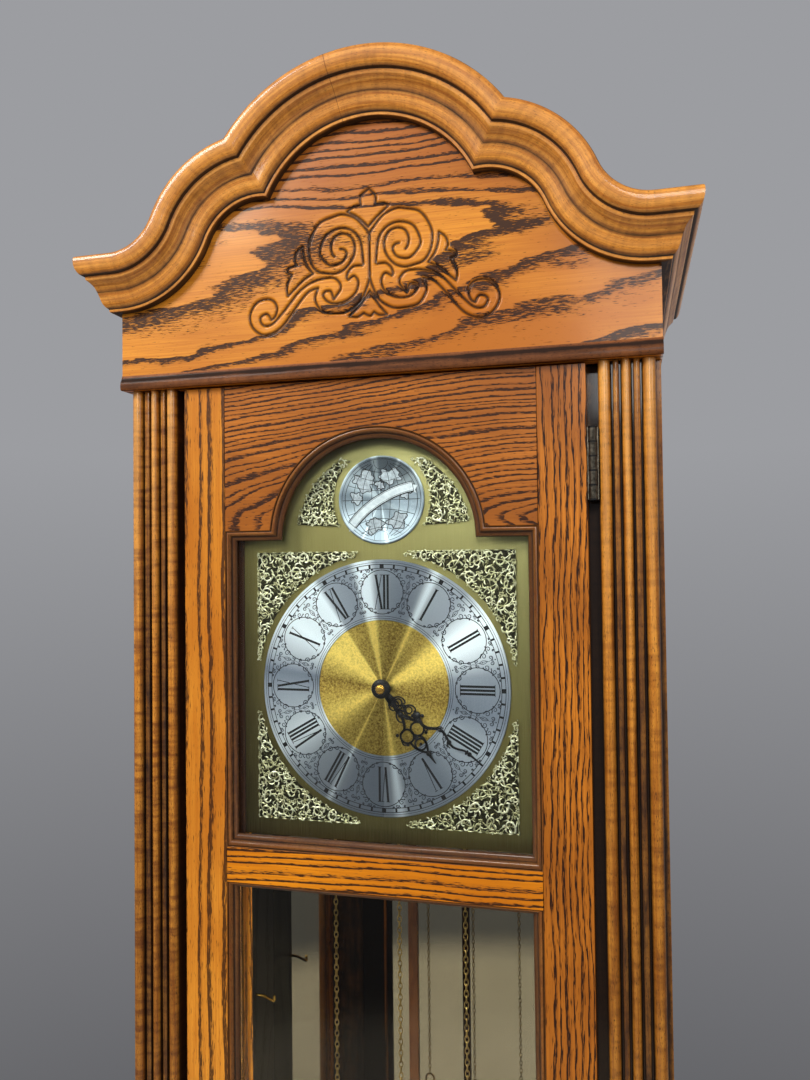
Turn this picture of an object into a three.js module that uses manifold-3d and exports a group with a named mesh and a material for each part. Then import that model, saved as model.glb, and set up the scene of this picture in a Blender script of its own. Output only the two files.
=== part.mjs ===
// Longcase (grandfather) clock in oak: a moulded arched crown over a carved frieze, a full-height
// glazed door between reeded pilasters, an arched brass dial, a chain-driven movement with three
// weights and a pendulum, and a panelled base on a scalloped plinth.
//
// Millimetres. +Z up, the clock faces -Y, +X is to the right of somebody facing the dial.
// Origin: on the floor, under the middle of the case's bounding box.

import * as THREE from 'three';
import { mergeVertices } from 'three/addons/utils/BufferGeometryUtils.js';
import Module from 'manifold-3d';

const wasm = await Module();
wasm.setup();

// ---------------------------------------------------------------- driving dimensions

const GAP = 0.3; // clearance between pieces that touch

// Heights above the floor.
const DIAL_Z = 1382; // centre of the hands
const PLINTH_TOP = 110;
const BASE_TOP = 408;
const CAP_TOP = 452; // top of the moulded board that the waist stands on
const FRIEZE_BOTTOM = DIAL_Z + 288.4;
const CASE_TOP = DIAL_Z + 363; // top ends of the side frames
const CROWN_SPRING = DIAL_Z + 364.5; // lower edge of the crown moulding at its straight ends

// Depths. The dial's face is the reference.
const DIAL_Y = -100;
const CASE_BACK = 165;
const DOOR_FRONT = DIAL_Y - 26;
const DOOR_BACK = DIAL_Y - 4;
const GLASS_FRONT = DIAL_Y - 17.5;
const FRIEZE_FRONT = DIAL_Y - 32;
const FRIEZE_BACK = FRIEZE_FRONT + 20;
const COLUMN_FRONT = DIAL_Y - 27;
const COLUMN_BACK = DIAL_Y + 2;
const MIRROR_Y = 150;

// Half widths, measured from the middle of the clock.
const FRIEZE_HALF = 254.8;
const CASE_OUTER = 244;
const CASE_INNER = 222;
const COLUMN_OUTER = 253.7;
const COLUMN_INNER = 201;
const DOOR_HALF = 191;
const DOOR_SIGHT = 139; // edge of the visible glass
const DOOR_FLAT = 148.5; // where a stile's flat face ends and its moulded edge starts
const BASE_HALF = 268;
const PLINTH_HALF = 286;

// Dial.
const RING_OUTER = 120;
const RING_INNER = 63.3;
const DISC_Z = DIAL_Z + 176;
const DISC_RADIUS = 41.85;
const DIAL_HALF = 140;
const MINUTE_ANGLE = 124.7; // clockwise from twelve, degrees
const HOUR_ANGLE = 142.6;

// Movement, pendulum and weights.
const PLATE_FRONT_Y = DIAL_Y + 17;
const PLATE_BACK_Y = DIAL_Y + 77;
const PLATE_THICK = 3;
const MOVEMENT_BOTTOM = DIAL_Z - 90;
const MOVEMENT_TOP = DIAL_Z + 74;
const CHAIN_Y = DIAL_Y + 49;
const SPROCKET_RADIUS = 16;
const SPROCKET_Z = DIAL_Z - 36;
const WEIGHT_SPACING = 66;
const WEIGHT_RADIUS = 28;
const WEIGHT_BOTTOM = 500;
const WEIGHT_HEIGHT = 230;
const WEIGHT_HOOK = 30;
const PENDULUM_Y = 4;
const PENDULUM_PIVOT_Z = DIAL_Z + 58;
const BOB_Z = 640;
const BOB_RADIUS = 70;

// ---------------------------------------------------------------- materials

function material(color, roughness, metalness) {
  return new THREE.MeshStandardMaterial({ color, roughness, metalness });
}

const oak = material(0xa8661f, 0.4, 0);
const plainWood = material(0xb4732c, 0.35, 0);
const darkWood = material(0x3d2412, 0.6, 0);
const plateGold = material(0x8f8148, 0.4, 1);
const antiqueBrass = material(0x9c8652, 0.45, 1);
const brightBrass = material(0xc9a23f, 0.25, 1);
const silver = material(0xc9ccd1, 0.35, 1);
const black = material(0x141416, 0.4, 0.2);
const bronze = material(0x3a2c20, 0.45, 0.9);
const steel = material(0x9aa0a6, 0.35, 1);
const glass = new THREE.MeshStandardMaterial({
  color: 0xe8f0ee, roughness: 0.05, metalness: 0, transparent: true, opacity: 0.25,
});
const mirror = material(0xd9dde0, 0.03, 1);

// ---------------------------------------------------------------- solids

const Y_AXIS = new THREE.Vector3(0, 1, 0);
const Z_AXIS = new THREE.Vector3(0, 0, 1);
const X_AXIS = new THREE.Vector3(1, 0, 0);

function toSolid(geometry) {
  const bare = new THREE.BufferGeometry();
  bare.setAttribute('position', geometry.getAttribute('position').clone());
  if (geometry.index) {
    bare.setIndex(geometry.index.clone());
  }
  const merged = mergeVertices(bare, 1e-4);
  return new wasm.Manifold(new wasm.Mesh({
    numProp: 3,
    vertProperties: new Float32Array(merged.getAttribute('position').array),
    triVerts: new Uint32Array(merged.index.array),
  }));
}

function toGeometry(solid) {
  const mesh = solid.getMesh();
  const geometry = new THREE.BufferGeometry();
  geometry.setAttribute('position', new THREE.BufferAttribute(mesh.vertProperties, 3));
  geometry.setIndex(new THREE.BufferAttribute(mesh.triVerts, 1));
  geometry.computeVertexNormals();
  return geometry;
}

function join(...geometries) {
  return toGeometry(geometries.map(toSolid).reduce((sum, next) => sum.add(next)));
}

function cut(geometry, ...tools) {
  return toGeometry(tools.map(toSolid).reduce((rest, tool) => rest.subtract(tool), toSolid(geometry)));
}

function boxBetween(x0, x1, y0, y1, z0, z1) {
  const geometry = new THREE.BoxGeometry(x1 - x0, y1 - y0, z1 - z0);
  return geometry.translate((x0 + x1) / 2, (y0 + y1) / 2, (z0 + z1) / 2);
}

function extrude(shape, depth, curveSegments = 16) {
  return new THREE.ExtrudeGeometry(shape, { depth, bevelEnabled: false, curveSegments });
}

// An outline in X and Z, made into a board between two depths.
function plateFacingFront(shape, yFront, yBack, curveSegments) {
  return extrude(shape, yBack - yFront, curveSegments).rotateX(Math.PI / 2).translate(0, yBack, 0);
}

// An outline in Y and Z, made into a board between two X positions.
function plateFacingSide(shape, x0, x1) {
  const geometry = extrude(shape, x1 - x0);
  geometry.applyMatrix4(new THREE.Matrix4().makeBasis(Y_AXIS, Z_AXIS, X_AXIS));
  return geometry.translate(x0, 0, 0);
}

// An outline in X and Y, made into a post between two heights.
function postUpright(shape, z0, z1) {
  return extrude(shape, z1 - z0, 6).translate(0, 0, z0);
}

function polygon(points) {
  return new THREE.Shape(points.map(([a, b]) => new THREE.Vector2(a, b)));
}

function rodAlongY(radius, x, z, y0, y1, sides = 16) {
  return new THREE.CylinderGeometry(radius, radius, y1 - y0, sides).translate(x, (y0 + y1) / 2, z);
}

function rodUpright(radius, x, y, z0, z1, sides = 12) {
  const geometry = new THREE.CylinderGeometry(radius, radius, z1 - z0, sides);
  return geometry.rotateX(Math.PI / 2).translate(x, y, (z0 + z1) / 2);
}

// A profile of [radius, height] turned about an upright axis.
function turnedUpright(profile, x, y, segments = 24) {
  const points = profile.map(([radius, height]) => new THREE.Vector2(radius, height));
  return new THREE.LatheGeometry(points, segments).rotateX(Math.PI / 2).translate(x, y, 0);
}

// A profile of [radius, depth] turned about an axis that runs from front to back.
function turnedAlongY(profile, x, z, segments = 24) {
  const points = profile.map(([radius, depth]) => new THREE.Vector2(radius, depth));
  return new THREE.LatheGeometry(points, segments).translate(x, 0, z);
}

function mirrored(geometry) {
  const flipped = toSolid(geometry).mirror([1, 0, 0]);
  return toGeometry(flipped);
}

const clock = new THREE.Group();
clock.name = 'grandfather_clock';

function piece(name, geometry, surface) {
  const mesh = new THREE.Mesh(geometry, surface);
  mesh.name = name;
  clock.add(mesh);
}

function leftAndRight(name, rightGeometry, surface) {
  piece(`${name}_left`, mirrored(rightGeometry), surface);
  piece(`${name}_right`, rightGeometry, surface);
}

// ---------------------------------------------------------------- base

const PLINTH_FRONT = -163;
const PLINTH_THICK = 20;
const FOOT_HEIGHT = 42;
const FOOT_LENGTH = 105;
const FOOT_CURVE = 34;

// A board edge with a foot at each end and a raised, round-cornered stretch between the feet.
function scallopedBoard(start, end, top) {
  const shape = new THREE.Shape();
  shape.moveTo(start, 0);
  shape.lineTo(start + FOOT_LENGTH - FOOT_CURVE, 0);
  shape.quadraticCurveTo(start + FOOT_LENGTH, 0, start + FOOT_LENGTH, FOOT_HEIGHT);
  shape.lineTo(end - FOOT_LENGTH, FOOT_HEIGHT);
  shape.quadraticCurveTo(end - FOOT_LENGTH, 0, end - FOOT_LENGTH + FOOT_CURVE, 0);
  shape.lineTo(end, 0);
  shape.lineTo(end, top);
  shape.lineTo(start, top);
  return shape;
}

function plinth() {
  const front = plateFacingFront(
    scallopedBoard(-PLINTH_HALF, PLINTH_HALF, PLINTH_TOP), PLINTH_FRONT, PLINTH_FRONT + PLINTH_THICK);
  const sideOutline = scallopedBoard(PLINTH_FRONT, CASE_BACK, PLINTH_TOP);
  const right = plateFacingSide(sideOutline, PLINTH_HALF - PLINTH_THICK, PLINTH_HALF);
  const left = plateFacingSide(sideOutline, -PLINTH_HALF, PLINTH_THICK - PLINTH_HALF);
  return join(front, left, right);
}

const BASE_FRONT = -150;
const BASE_BACK_FACE = 153.2;
const PANEL_HALF = 190;
const PANEL_BOTTOM = 168;
const PANEL_TOP = 352;
const PANEL_FIELD_INSET = 32;

function baseFrontFrame() {
  const frame = boxBetween(
    -BASE_HALF, BASE_HALF, BASE_FRONT, BASE_FRONT + 20, PLINTH_TOP + GAP, BASE_TOP);
  const opening = boxBetween(
    -PANEL_HALF, PANEL_HALF, BASE_FRONT - 1, BASE_FRONT + 21, PANEL_BOTTOM, PANEL_TOP);
  return cut(frame, opening);
}

function baseFrontPanel() {
  const half = PANEL_HALF - GAP;
  const bottom = PANEL_BOTTOM + GAP;
  const top = PANEL_TOP - GAP;
  const sheet = boxBetween(-half, half, BASE_FRONT + 8, BASE_FRONT + 16, bottom, top);
  const field = boxBetween(
    PANEL_FIELD_INSET - half, half - PANEL_FIELD_INSET, BASE_FRONT + 2, BASE_FRONT + 9,
    bottom + PANEL_FIELD_INSET, top - PANEL_FIELD_INSET);
  return join(sheet, field);
}

const CAP_STEPS = [
  { half: 284, front: -161, bottom: BASE_TOP + GAP, top: 424 },
  { half: 274, front: -151, bottom: 423, top: 440 },
  { half: 262, front: -140, bottom: 439, top: CAP_TOP },
];

function baseCapMoulding() {
  return join(...CAP_STEPS.map(({ half, front, bottom, top }) =>
    boxBetween(-half, half, front, BASE_BACK_FACE, bottom, top)));
}

piece('plinth', plinth(), plainWood);
piece('base_front_frame', baseFrontFrame(), oak);
piece('base_front_panel', baseFrontPanel(), oak);
leftAndRight('base_side', boxBetween(
  BASE_HALF - 19, BASE_HALF, BASE_FRONT + 20 + GAP, CASE_BACK, PLINTH_TOP + GAP, BASE_TOP), oak);
piece('base_cap_moulding', baseCapMoulding(), plainWood);

// ---------------------------------------------------------------- case

const WINDOW_FRONT = DIAL_Y + 30;
const WINDOW_BACK = DIAL_Y + 183;
const WINDOW_BOTTOM = 560;
const WINDOW_TOP = 1560;
const REBATE = 6;
const SIDE_GLASS_X = 229;
const SIDE_GLASS_THICK = 3;

function sideFrame() {
  const board = boxBetween(
    CASE_INNER, CASE_OUTER, COLUMN_BACK + GAP, CASE_BACK, CAP_TOP + GAP, CASE_TOP);
  const daylight = boxBetween(
    CASE_INNER - 1, CASE_OUTER + 1, WINDOW_FRONT, WINDOW_BACK, WINDOW_BOTTOM, WINDOW_TOP);
  const rebate = boxBetween(
    CASE_INNER - 1, SIDE_GLASS_X + SIDE_GLASS_THICK + GAP, WINDOW_FRONT - REBATE, WINDOW_BACK + REBATE,
    WINDOW_BOTTOM - REBATE, WINDOW_TOP + REBATE);
  return cut(board, daylight, rebate);
}

function sideGlass() {
  const edge = REBATE - GAP;
  return boxBetween(
    SIDE_GLASS_X, SIDE_GLASS_X + SIDE_GLASS_THICK, WINDOW_FRONT - edge, WINDOW_BACK + edge,
    WINDOW_BOTTOM - edge, WINDOW_TOP + edge);
}

const BACK_PANEL_Y = BASE_BACK_FACE + GAP;
const BACK_PANEL_THICK = 6;
const BACK_PANEL_BOTTOM = 20;

function backPanel() {
  const baseHalf = BASE_HALF - 19 - GAP;
  const waistHalf = CASE_INNER - GAP;
  const outline = polygon([
    [-baseHalf, PLINTH_TOP + GAP], [-baseHalf, BASE_TOP], [-waistHalf, BASE_TOP], [-waistHalf, CASE_TOP],
    [waistHalf, CASE_TOP], [waistHalf, BASE_TOP], [baseHalf, BASE_TOP], [baseHalf, BACK_PANEL_BOTTOM],
    [-baseHalf, BACK_PANEL_BOTTOM],
  ]);
  return plateFacingFront(outline, BACK_PANEL_Y, BACK_PANEL_Y + BACK_PANEL_THICK);
}

// Reeded pilaster: three beads with grooves between them, an outer return edge set back, and
// behind the inner edge a thin stop that the door closes against.
const BEADS_END = 249;
const BEADS = [[COLUMN_INNER, 211.5], [220.5, 228.5], [238, BEADS_END]];
const GROOVE_Y = COLUMN_FRONT + 7;
const COLUMN_EDGE_Y = DIAL_Y - 11;
const DOOR_STOP_INNER = 182;

function column() {
  const shape = new THREE.Shape();
  shape.moveTo(DOOR_STOP_INNER, COLUMN_BACK);
  shape.lineTo(DOOR_STOP_INNER, DOOR_BACK + 0.5);
  shape.lineTo(COLUMN_INNER, DOOR_BACK + 0.5);
  for (const [start, end] of BEADS) {
    const middle = (start + end) / 2;
    shape.lineTo(start, GROOVE_Y);
    shape.quadraticCurveTo(start, COLUMN_FRONT, middle, COLUMN_FRONT);
    shape.quadraticCurveTo(end, COLUMN_FRONT, end, GROOVE_Y);
  }
  shape.lineTo(BEADS_END, COLUMN_EDGE_Y);
  shape.lineTo(COLUMN_OUTER, COLUMN_EDGE_Y);
  shape.lineTo(COLUMN_OUTER, COLUMN_BACK);
  return postUpright(shape, CAP_TOP + GAP, FRIEZE_BOTTOM - GAP);
}

const MIRROR_BOTTOM = 458;
const SEATBOARD_BOTTOM = MOVEMENT_BOTTOM - GAP - 18;

leftAndRight('side_frame', sideFrame(), oak);
leftAndRight('side_glass', sideGlass(), glass);
leftAndRight('column', column(), plainWood);
piece('back_panel', backPanel(), darkWood);
piece('mirror_panel', boxBetween(
  GAP - CASE_INNER, CASE_INNER - GAP, MIRROR_Y, BACK_PANEL_Y - GAP, MIRROR_BOTTOM,
  SEATBOARD_BOTTOM - 8), mirror);
piece('roof_board', boxBetween(
  -CASE_OUTER, CASE_OUTER, FRIEZE_BACK + GAP, CASE_BACK, CASE_TOP + GAP, CASE_TOP + 12), darkWood);

// ---------------------------------------------------------------- crown

// The crown's outline is made of arcs: a wide central arch, a smaller lobe on each side that meets
// it in a cusp, and a hollow arc that runs tangent from the lobe into a short straight end.
// Centres are relative to the dial's centre; radii are those of the moulding's lower edge.
const ARCH = { x: 0, z: 414.2, radius: 107.3 };
const LOBE = { x: 106, z: 403, radius: 57.5 };
const HOLLOW = { x: 250, z: 463, radius: 98.5 };
const CROWN_STEPS = [
  { offset: 0, projection: 9.2 },
  { offset: 10, projection: 16.5 },
  { offset: 24, projection: 25 },
  { offset: 33.5, projection: 33 },
];
const CROWN_HEIGHT = 50; // radial width of the moulding; its peak is at ARCH.z + radius + this + ease
const CROWN_ARC_STEPS = 6;
const CROWN_PEAK_EASE = 2.5; // the central arch's outer edge is slightly fuller than concentric

// Points of the crown's outline at a distance above its lower edge, from the middle to +X.
function crownHalfOutline(offset, endX) {
  const ease = CROWN_PEAK_EASE * offset / CROWN_HEIGHT;
  const arch = ARCH.radius + offset + ease;
  const lobe = LOBE.radius + offset;
  const hollow = HOLLOW.radius - offset;
  const apart = Math.hypot(LOBE.x - ARCH.x, LOBE.z - ARCH.z);
  const along = (arch * arch - lobe * lobe + apart * apart) / (2 * apart);
  const aside = Math.sqrt(arch * arch - along * along);
  const ux = (LOBE.x - ARCH.x) / apart;
  const uz = (LOBE.z - ARCH.z) / apart;
  const cusp = new THREE.Vector2(
    ARCH.x + ux * along - uz * aside, ARCH.z + uz * along + ux * aside);
  const tangent = Math.atan2(HOLLOW.z - LOBE.z, HOLLOW.x - LOBE.x);
  const path = new THREE.Path();
  path.moveTo(ARCH.x, ARCH.z + arch);
  path.absarc(ARCH.x, ARCH.z, arch, Math.PI / 2, Math.atan2(cusp.y - ARCH.z, cusp.x - ARCH.x), true);
  path.absarc(
    LOBE.x, LOBE.z, lobe, Math.atan2(cusp.y - LOBE.z, cusp.x - LOBE.x), tangent, true);
  path.absarc(HOLLOW.x, HOLLOW.z, hollow, tangent + Math.PI, Math.PI * 1.5, false);
  path.lineTo(endX, HOLLOW.z - hollow);
  return path.getPoints(CROWN_ARC_STEPS).map((point) => new THREE.Vector2(point.x, point.y + DIAL_Z));
}

function withLeftHalf(rightPoints) {
  const left = rightPoints.slice(1).reverse().map((point) => new THREE.Vector2(-point.x, point.y));
  return [...left, ...rightPoints];
}

function crownBand({ offset, projection }) {
  const endX = FRIEZE_HALF + projection;
  const upper = withLeftHalf(crownHalfOutline(CROWN_HEIGHT, endX));
  const lower = withLeftHalf(crownHalfOutline(offset, endX));
  const shape = new THREE.Shape([...upper, ...lower.reverse()]);
  return plateFacingFront(shape, FRIEZE_FRONT - projection, FRIEZE_FRONT - GAP);
}

function crownReturn() {
  const top = CROWN_SPRING + CROWN_HEIGHT;
  const board = boxBetween(
    CASE_OUTER + GAP, FRIEZE_HALF + 1, FRIEZE_BACK + GAP, CASE_BACK, FRIEZE_BOTTOM, top);
  const steps = CROWN_STEPS.map(({ offset, projection }) => boxBetween(
    FRIEZE_HALF + GAP, FRIEZE_HALF + projection, FRIEZE_FRONT + GAP, CASE_BACK,
    CROWN_SPRING + offset, top));
  return join(board, ...steps);
}

const FRIEZE_BEAD_HEIGHT = 14.5;
const FRIEZE_TOP_OFFSET = 48;

function friezeBoard() {
  const top = withLeftHalf(crownHalfOutline(FRIEZE_TOP_OFFSET, FRIEZE_HALF));
  const outline = new THREE.Shape([
    new THREE.Vector2(-FRIEZE_HALF, FRIEZE_BOTTOM),
    ...top,
    new THREE.Vector2(FRIEZE_HALF, FRIEZE_BOTTOM),
  ]);
  const board = plateFacingFront(outline, FRIEZE_FRONT, FRIEZE_BACK);
  const bead = boxBetween(
    -FRIEZE_HALF, FRIEZE_HALF, FRIEZE_FRONT - 2.5, FRIEZE_FRONT + 1, FRIEZE_BOTTOM,
    FRIEZE_BOTTOM + FRIEZE_BEAD_HEIGHT);
  return join(board, bead);
}

piece('frieze_board', friezeBoard(), oak);
piece('crown_moulding_front', join(...CROWN_STEPS.map(crownBand)), plainWood);
leftAndRight('crown_return', crownReturn(), plainWood);

// ---------------------------------------------------------------- door

const DOOR_BOTTOM = CAP_TOP + 3;
const DOOR_TOP = FRIEZE_BOTTOM - 1.6;
const STICKING_Y = DOOR_FRONT + 6.5; // front of the moulded inner edge where it meets the glass
const GLASS_SEAT_Y = GLASS_FRONT - GAP;
const GLASS_HALF = 145;
const GLASS_THICK = 2.5;
const DIAL_SIGHT_BOTTOM = DIAL_Z - 138.7;
const WAIST_SIGHT_TOP = DIAL_Z - 189;
const WAIST_SIGHT_BOTTOM = 516;
const SHOULDER_Z = DIAL_Z + 139;
const DOOR_ARCH_RADIUS = 92.5;
const TOP_GLASS_EDGE = 1620;
const GLASS_LAP = 6;

function doorStile() {
  const glassEdge = GLASS_HALF + GAP;
  return postUpright(polygon([
    [DOOR_HALF, DOOR_FRONT], [DOOR_HALF, DOOR_BACK], [glassEdge, DOOR_BACK], [glassEdge, GLASS_SEAT_Y],
    [DOOR_SIGHT, GLASS_SEAT_Y], [DOOR_SIGHT, STICKING_Y], [DOOR_FLAT, DOOR_FRONT],
  ]), DOOR_BOTTOM, DOOR_TOP);
}

function doorTopRail() {
  const half = DOOR_SIGHT - GAP;
  const shape = new THREE.Shape();
  shape.moveTo(-half, DOOR_TOP);
  shape.lineTo(-half, SHOULDER_Z);
  shape.lineTo(-DOOR_ARCH_RADIUS, SHOULDER_Z);
  shape.absarc(0, SHOULDER_Z, DOOR_ARCH_RADIUS, Math.PI, 0, true);
  shape.lineTo(half, SHOULDER_Z);
  shape.lineTo(half, DOOR_TOP);
  const rail = plateFacingFront(shape, DOOR_FRONT, DOOR_BACK);
  const glassRecess = boxBetween(
    -DOOR_HALF, DOOR_HALF, GLASS_SEAT_Y, DOOR_BACK + 1, SHOULDER_Z - 1, TOP_GLASS_EDGE + GAP);
  return cut(rail, glassRecess);
}

function doorMidRail() {
  const upperLap = DIAL_SIGHT_BOTTOM - GLASS_LAP;
  const lowerLap = WAIST_SIGHT_TOP + GLASS_LAP;
  const section = polygon([
    [DOOR_FRONT, WAIST_SIGHT_TOP + 6.5], [STICKING_Y, WAIST_SIGHT_TOP], [GLASS_SEAT_Y, WAIST_SIGHT_TOP],
    [GLASS_SEAT_Y, lowerLap], [DOOR_BACK, lowerLap], [DOOR_BACK, upperLap], [GLASS_SEAT_Y, upperLap],
    [GLASS_SEAT_Y, DIAL_SIGHT_BOTTOM], [STICKING_Y, DIAL_SIGHT_BOTTOM],
    [DOOR_FRONT, DIAL_SIGHT_BOTTOM - 11.5],
  ]);
  return plateFacingSide(section, GAP - DOOR_SIGHT, DOOR_SIGHT - GAP);
}

function doorBottomRail() {
  const lap = WAIST_SIGHT_BOTTOM - GLASS_LAP;
  const section = polygon([
    [DOOR_FRONT, DOOR_BOTTOM], [DOOR_BACK, DOOR_BOTTOM], [DOOR_BACK, lap], [GLASS_SEAT_Y, lap],
    [GLASS_SEAT_Y, WAIST_SIGHT_BOTTOM], [STICKING_Y, WAIST_SIGHT_BOTTOM],
    [DOOR_FRONT, WAIST_SIGHT_BOTTOM - 9.5],
  ]);
  return plateFacingSide(section, GAP - DOOR_SIGHT, DOOR_SIGHT - GAP);
}

function doorPane(bottom, top) {
  return boxBetween(-GLASS_HALF, GLASS_HALF, GLASS_FRONT, GLASS_FRONT + GLASS_THICK, bottom, top);
}

const KNOB_X = -170;
const KNOB_Z = 900;
const KNOB_PROFILE = [
  [0, 0], [8.5, 0], [8.5, 2], [4, 3.5], [3.2, 9], [6.5, 13], [8, 17], [6.5, 20.5], [3, 22], [0, 22.3],
];

function doorKnob() {
  const profile = KNOB_PROFILE.map(([radius, out]) => [radius, DOOR_FRONT - GAP - out]);
  return turnedAlongY(profile.reverse(), KNOB_X, KNOB_Z, 14);
}

leftAndRight('door_stile', doorStile(), oak);
piece('door_top_rail', doorTopRail(), oak);
piece('door_mid_rail', doorMidRail(), oak);
piece('door_bottom_rail', doorBottomRail(), oak);
const PANE_EDGE = GLASS_LAP - GAP; // how far a pane reaches past the sight line
piece('dial_glass', doorPane(DIAL_SIGHT_BOTTOM - PANE_EDGE, TOP_GLASS_EDGE), glass);
piece('waist_glass', doorPane(WAIST_SIGHT_BOTTOM - PANE_EDGE, WAIST_SIGHT_TOP + PANE_EDGE), glass);
piece('door_knob', doorKnob(), brightBrass);

// ---------------------------------------------------------------- hinges

const HINGE_X = 196;
const HINGE_Y = DOOR_FRONT;
const HINGE_LENGTH = 62;
const HINGE_BOTTOMS = { top: DIAL_Z + 169, bottom: 530 };
const KNUCKLES = 5;
const KNUCKLE_RADIUS = 3.6;
const CASE_KNUCKLES = [0, 2, 4];
const DOOR_KNUCKLES = [1, 3];
const LEAF_THICK = 1.5;
const LEAF_DEPTH = 18;
const PIN_RADIUS = 1.5;

function knuckle(index, hingeBottom) {
  const pitch = HINGE_LENGTH / KNUCKLES;
  const bottom = hingeBottom + index * pitch;
  return rodUpright(KNUCKLE_RADIUS, HINGE_X, HINGE_Y, bottom + GAP / 2, bottom + pitch - GAP / 2, 12);
}

// Room cut out of one leaf for a knuckle of the other.
function knuckleRoom(index, hingeBottom) {
  const pitch = HINGE_LENGTH / KNUCKLES;
  const bottom = hingeBottom + index * pitch;
  return rodUpright(
    KNUCKLE_RADIUS + GAP, HINGE_X, HINGE_Y, bottom - GAP / 2, bottom + pitch + GAP / 2, 12);
}

function leafPlate(innerX, hingeBottom) {
  return boxBetween(
    innerX, innerX + LEAF_THICK, HINGE_Y, HINGE_Y + LEAF_DEPTH, hingeBottom, hingeBottom + HINGE_LENGTH);
}

function caseLeaf(hingeBottom) {
  const plate = cut(
    leafPlate(COLUMN_INNER - GAP - LEAF_THICK, hingeBottom),
    ...DOOR_KNUCKLES.map((index) => knuckleRoom(index, hingeBottom)));
  const knuckles = CASE_KNUCKLES.map((index) => knuckle(index, hingeBottom));
  const pin = rodUpright(PIN_RADIUS, HINGE_X, HINGE_Y, hingeBottom + 1, hingeBottom + HINGE_LENGTH - 1);
  return join(plate, ...knuckles, pin);
}

function doorLeaf(hingeBottom) {
  const plate = cut(
    leafPlate(DOOR_HALF + GAP, hingeBottom),
    ...CASE_KNUCKLES.map((index) => knuckleRoom(index, hingeBottom)));
  const knuckles = DOOR_KNUCKLES.map((index) => knuckle(index, hingeBottom));
  const pinHole = rodUpright(
    PIN_RADIUS + GAP, HINGE_X, HINGE_Y, hingeBottom - 1, hingeBottom + HINGE_LENGTH + 1);
  return cut(join(plate, ...knuckles), pinHole);
}

for (const [place, bottom] of Object.entries(HINGE_BOTTOMS)) {
  piece(`hinge_${place}_case_leaf`, caseLeaf(bottom), bronze);
  piece(`hinge_${place}_door_leaf`, doorLeaf(bottom), bronze);
}

// ---------------------------------------------------------------- dial

const DIAL_THICK = 1.5;
const APPLIED_THICK = 1.2;
const HAND_HOLE = 6;
const DIAL_BOTTOM = DIAL_Z - 144;
const DIAL_ARCH_Z = DIAL_Z + 140;
const DIAL_ARCH_RADIUS = 103;
const DIAL_FOOT_PLACES = [[-60, 45], [60, 45], [-60, -70], [60, -70]];

function dialPlate() {
  const shape = new THREE.Shape();
  shape.moveTo(-DIAL_HALF, DIAL_BOTTOM);
  shape.lineTo(DIAL_HALF, DIAL_BOTTOM);
  shape.lineTo(DIAL_HALF, DIAL_ARCH_Z);
  shape.lineTo(DIAL_ARCH_RADIUS, DIAL_ARCH_Z);
  shape.absarc(0, DIAL_ARCH_Z, DIAL_ARCH_RADIUS, 0, Math.PI, false);
  shape.lineTo(-DIAL_HALF, DIAL_ARCH_Z);
  const hole = new THREE.Path();
  hole.absarc(0, DIAL_Z, HAND_HOLE, 0, Math.PI * 2, true);
  shape.holes.push(hole);
  const plate = plateFacingFront(shape, DIAL_Y, DIAL_Y + DIAL_THICK);
  const feet = DIAL_FOOT_PLACES.map(([x, z]) =>
    rodAlongY(3, x, DIAL_Z + z, DIAL_Y + 1, PLATE_FRONT_Y - GAP, 10));
  return join(plate, ...feet);
}

function ringPlate(outer, inner, segments) {
  const shape = new THREE.Shape();
  shape.absarc(0, DIAL_Z, outer, 0, Math.PI * 2, false);
  const hole = new THREE.Path();
  hole.absarc(0, DIAL_Z, inner, 0, Math.PI * 2, true);
  shape.holes.push(hole);
  return plateFacingFront(shape, DIAL_Y - GAP - APPLIED_THICK, DIAL_Y - GAP, segments);
}

const SPANDREL_CORNER_X = 126.5;
const SPANDREL_CORNER_Z = 128.5;
const SPANDREL_REACH = 27;
const SPANDREL_CLEAR = 124; // distance of the spandrels' hollow edge from the dial's centre
const SPANDREL_THICK = 2.5;

// The casting for the upper right corner; the others are its mirror images.
function cornerSpandrel(flipZ) {
  const shape = new THREE.Shape();
  const ends = Math.asin(SPANDREL_REACH / SPANDREL_CLEAR);
  shape.moveTo(SPANDREL_CORNER_X, SPANDREL_CORNER_Z);
  shape.lineTo(SPANDREL_REACH, SPANDREL_CORNER_Z);
  shape.absarc(0, 0, SPANDREL_CLEAR, Math.PI / 2 - ends, ends, true);
  shape.lineTo(SPANDREL_CORNER_X, SPANDREL_REACH);
  const geometry = plateFacingFront(shape, DIAL_Y - GAP - SPANDREL_THICK, DIAL_Y - GAP, 10);
  const placed = flipZ ? toGeometry(toSolid(geometry).mirror([0, 0, 1])) : geometry;
  return placed.translate(0, 0, DIAL_Z);
}

const ARCH_SPANDREL_OUTER = 87;
const ARCH_SPANDREL_CENTRE = 139.5;
const ARCH_SPANDREL_INNER = DISC_RADIUS + 4;

// Three-cornered casting between the arch and the small disc, right-hand side.
function archSpandrel() {
  const shape = new THREE.Shape();
  const degrees = Math.PI / 180;
  shape.absarc(0, DIAL_Z + ARCH_SPANDREL_CENTRE, ARCH_SPANDREL_OUTER, 9 * degrees, 64 * degrees, false);
  shape.absarc(0, DISC_Z, ARCH_SPANDREL_INNER, 40 * degrees, -34 * degrees, true);
  return plateFacingFront(shape, DIAL_Y - GAP - SPANDREL_THICK, DIAL_Y - GAP, 10);
}

function archDisc() {
  return rodAlongY(DISC_RADIUS, 0, DISC_Z, DIAL_Y - GAP - APPLIED_THICK, DIAL_Y - GAP, 40);
}

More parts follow.
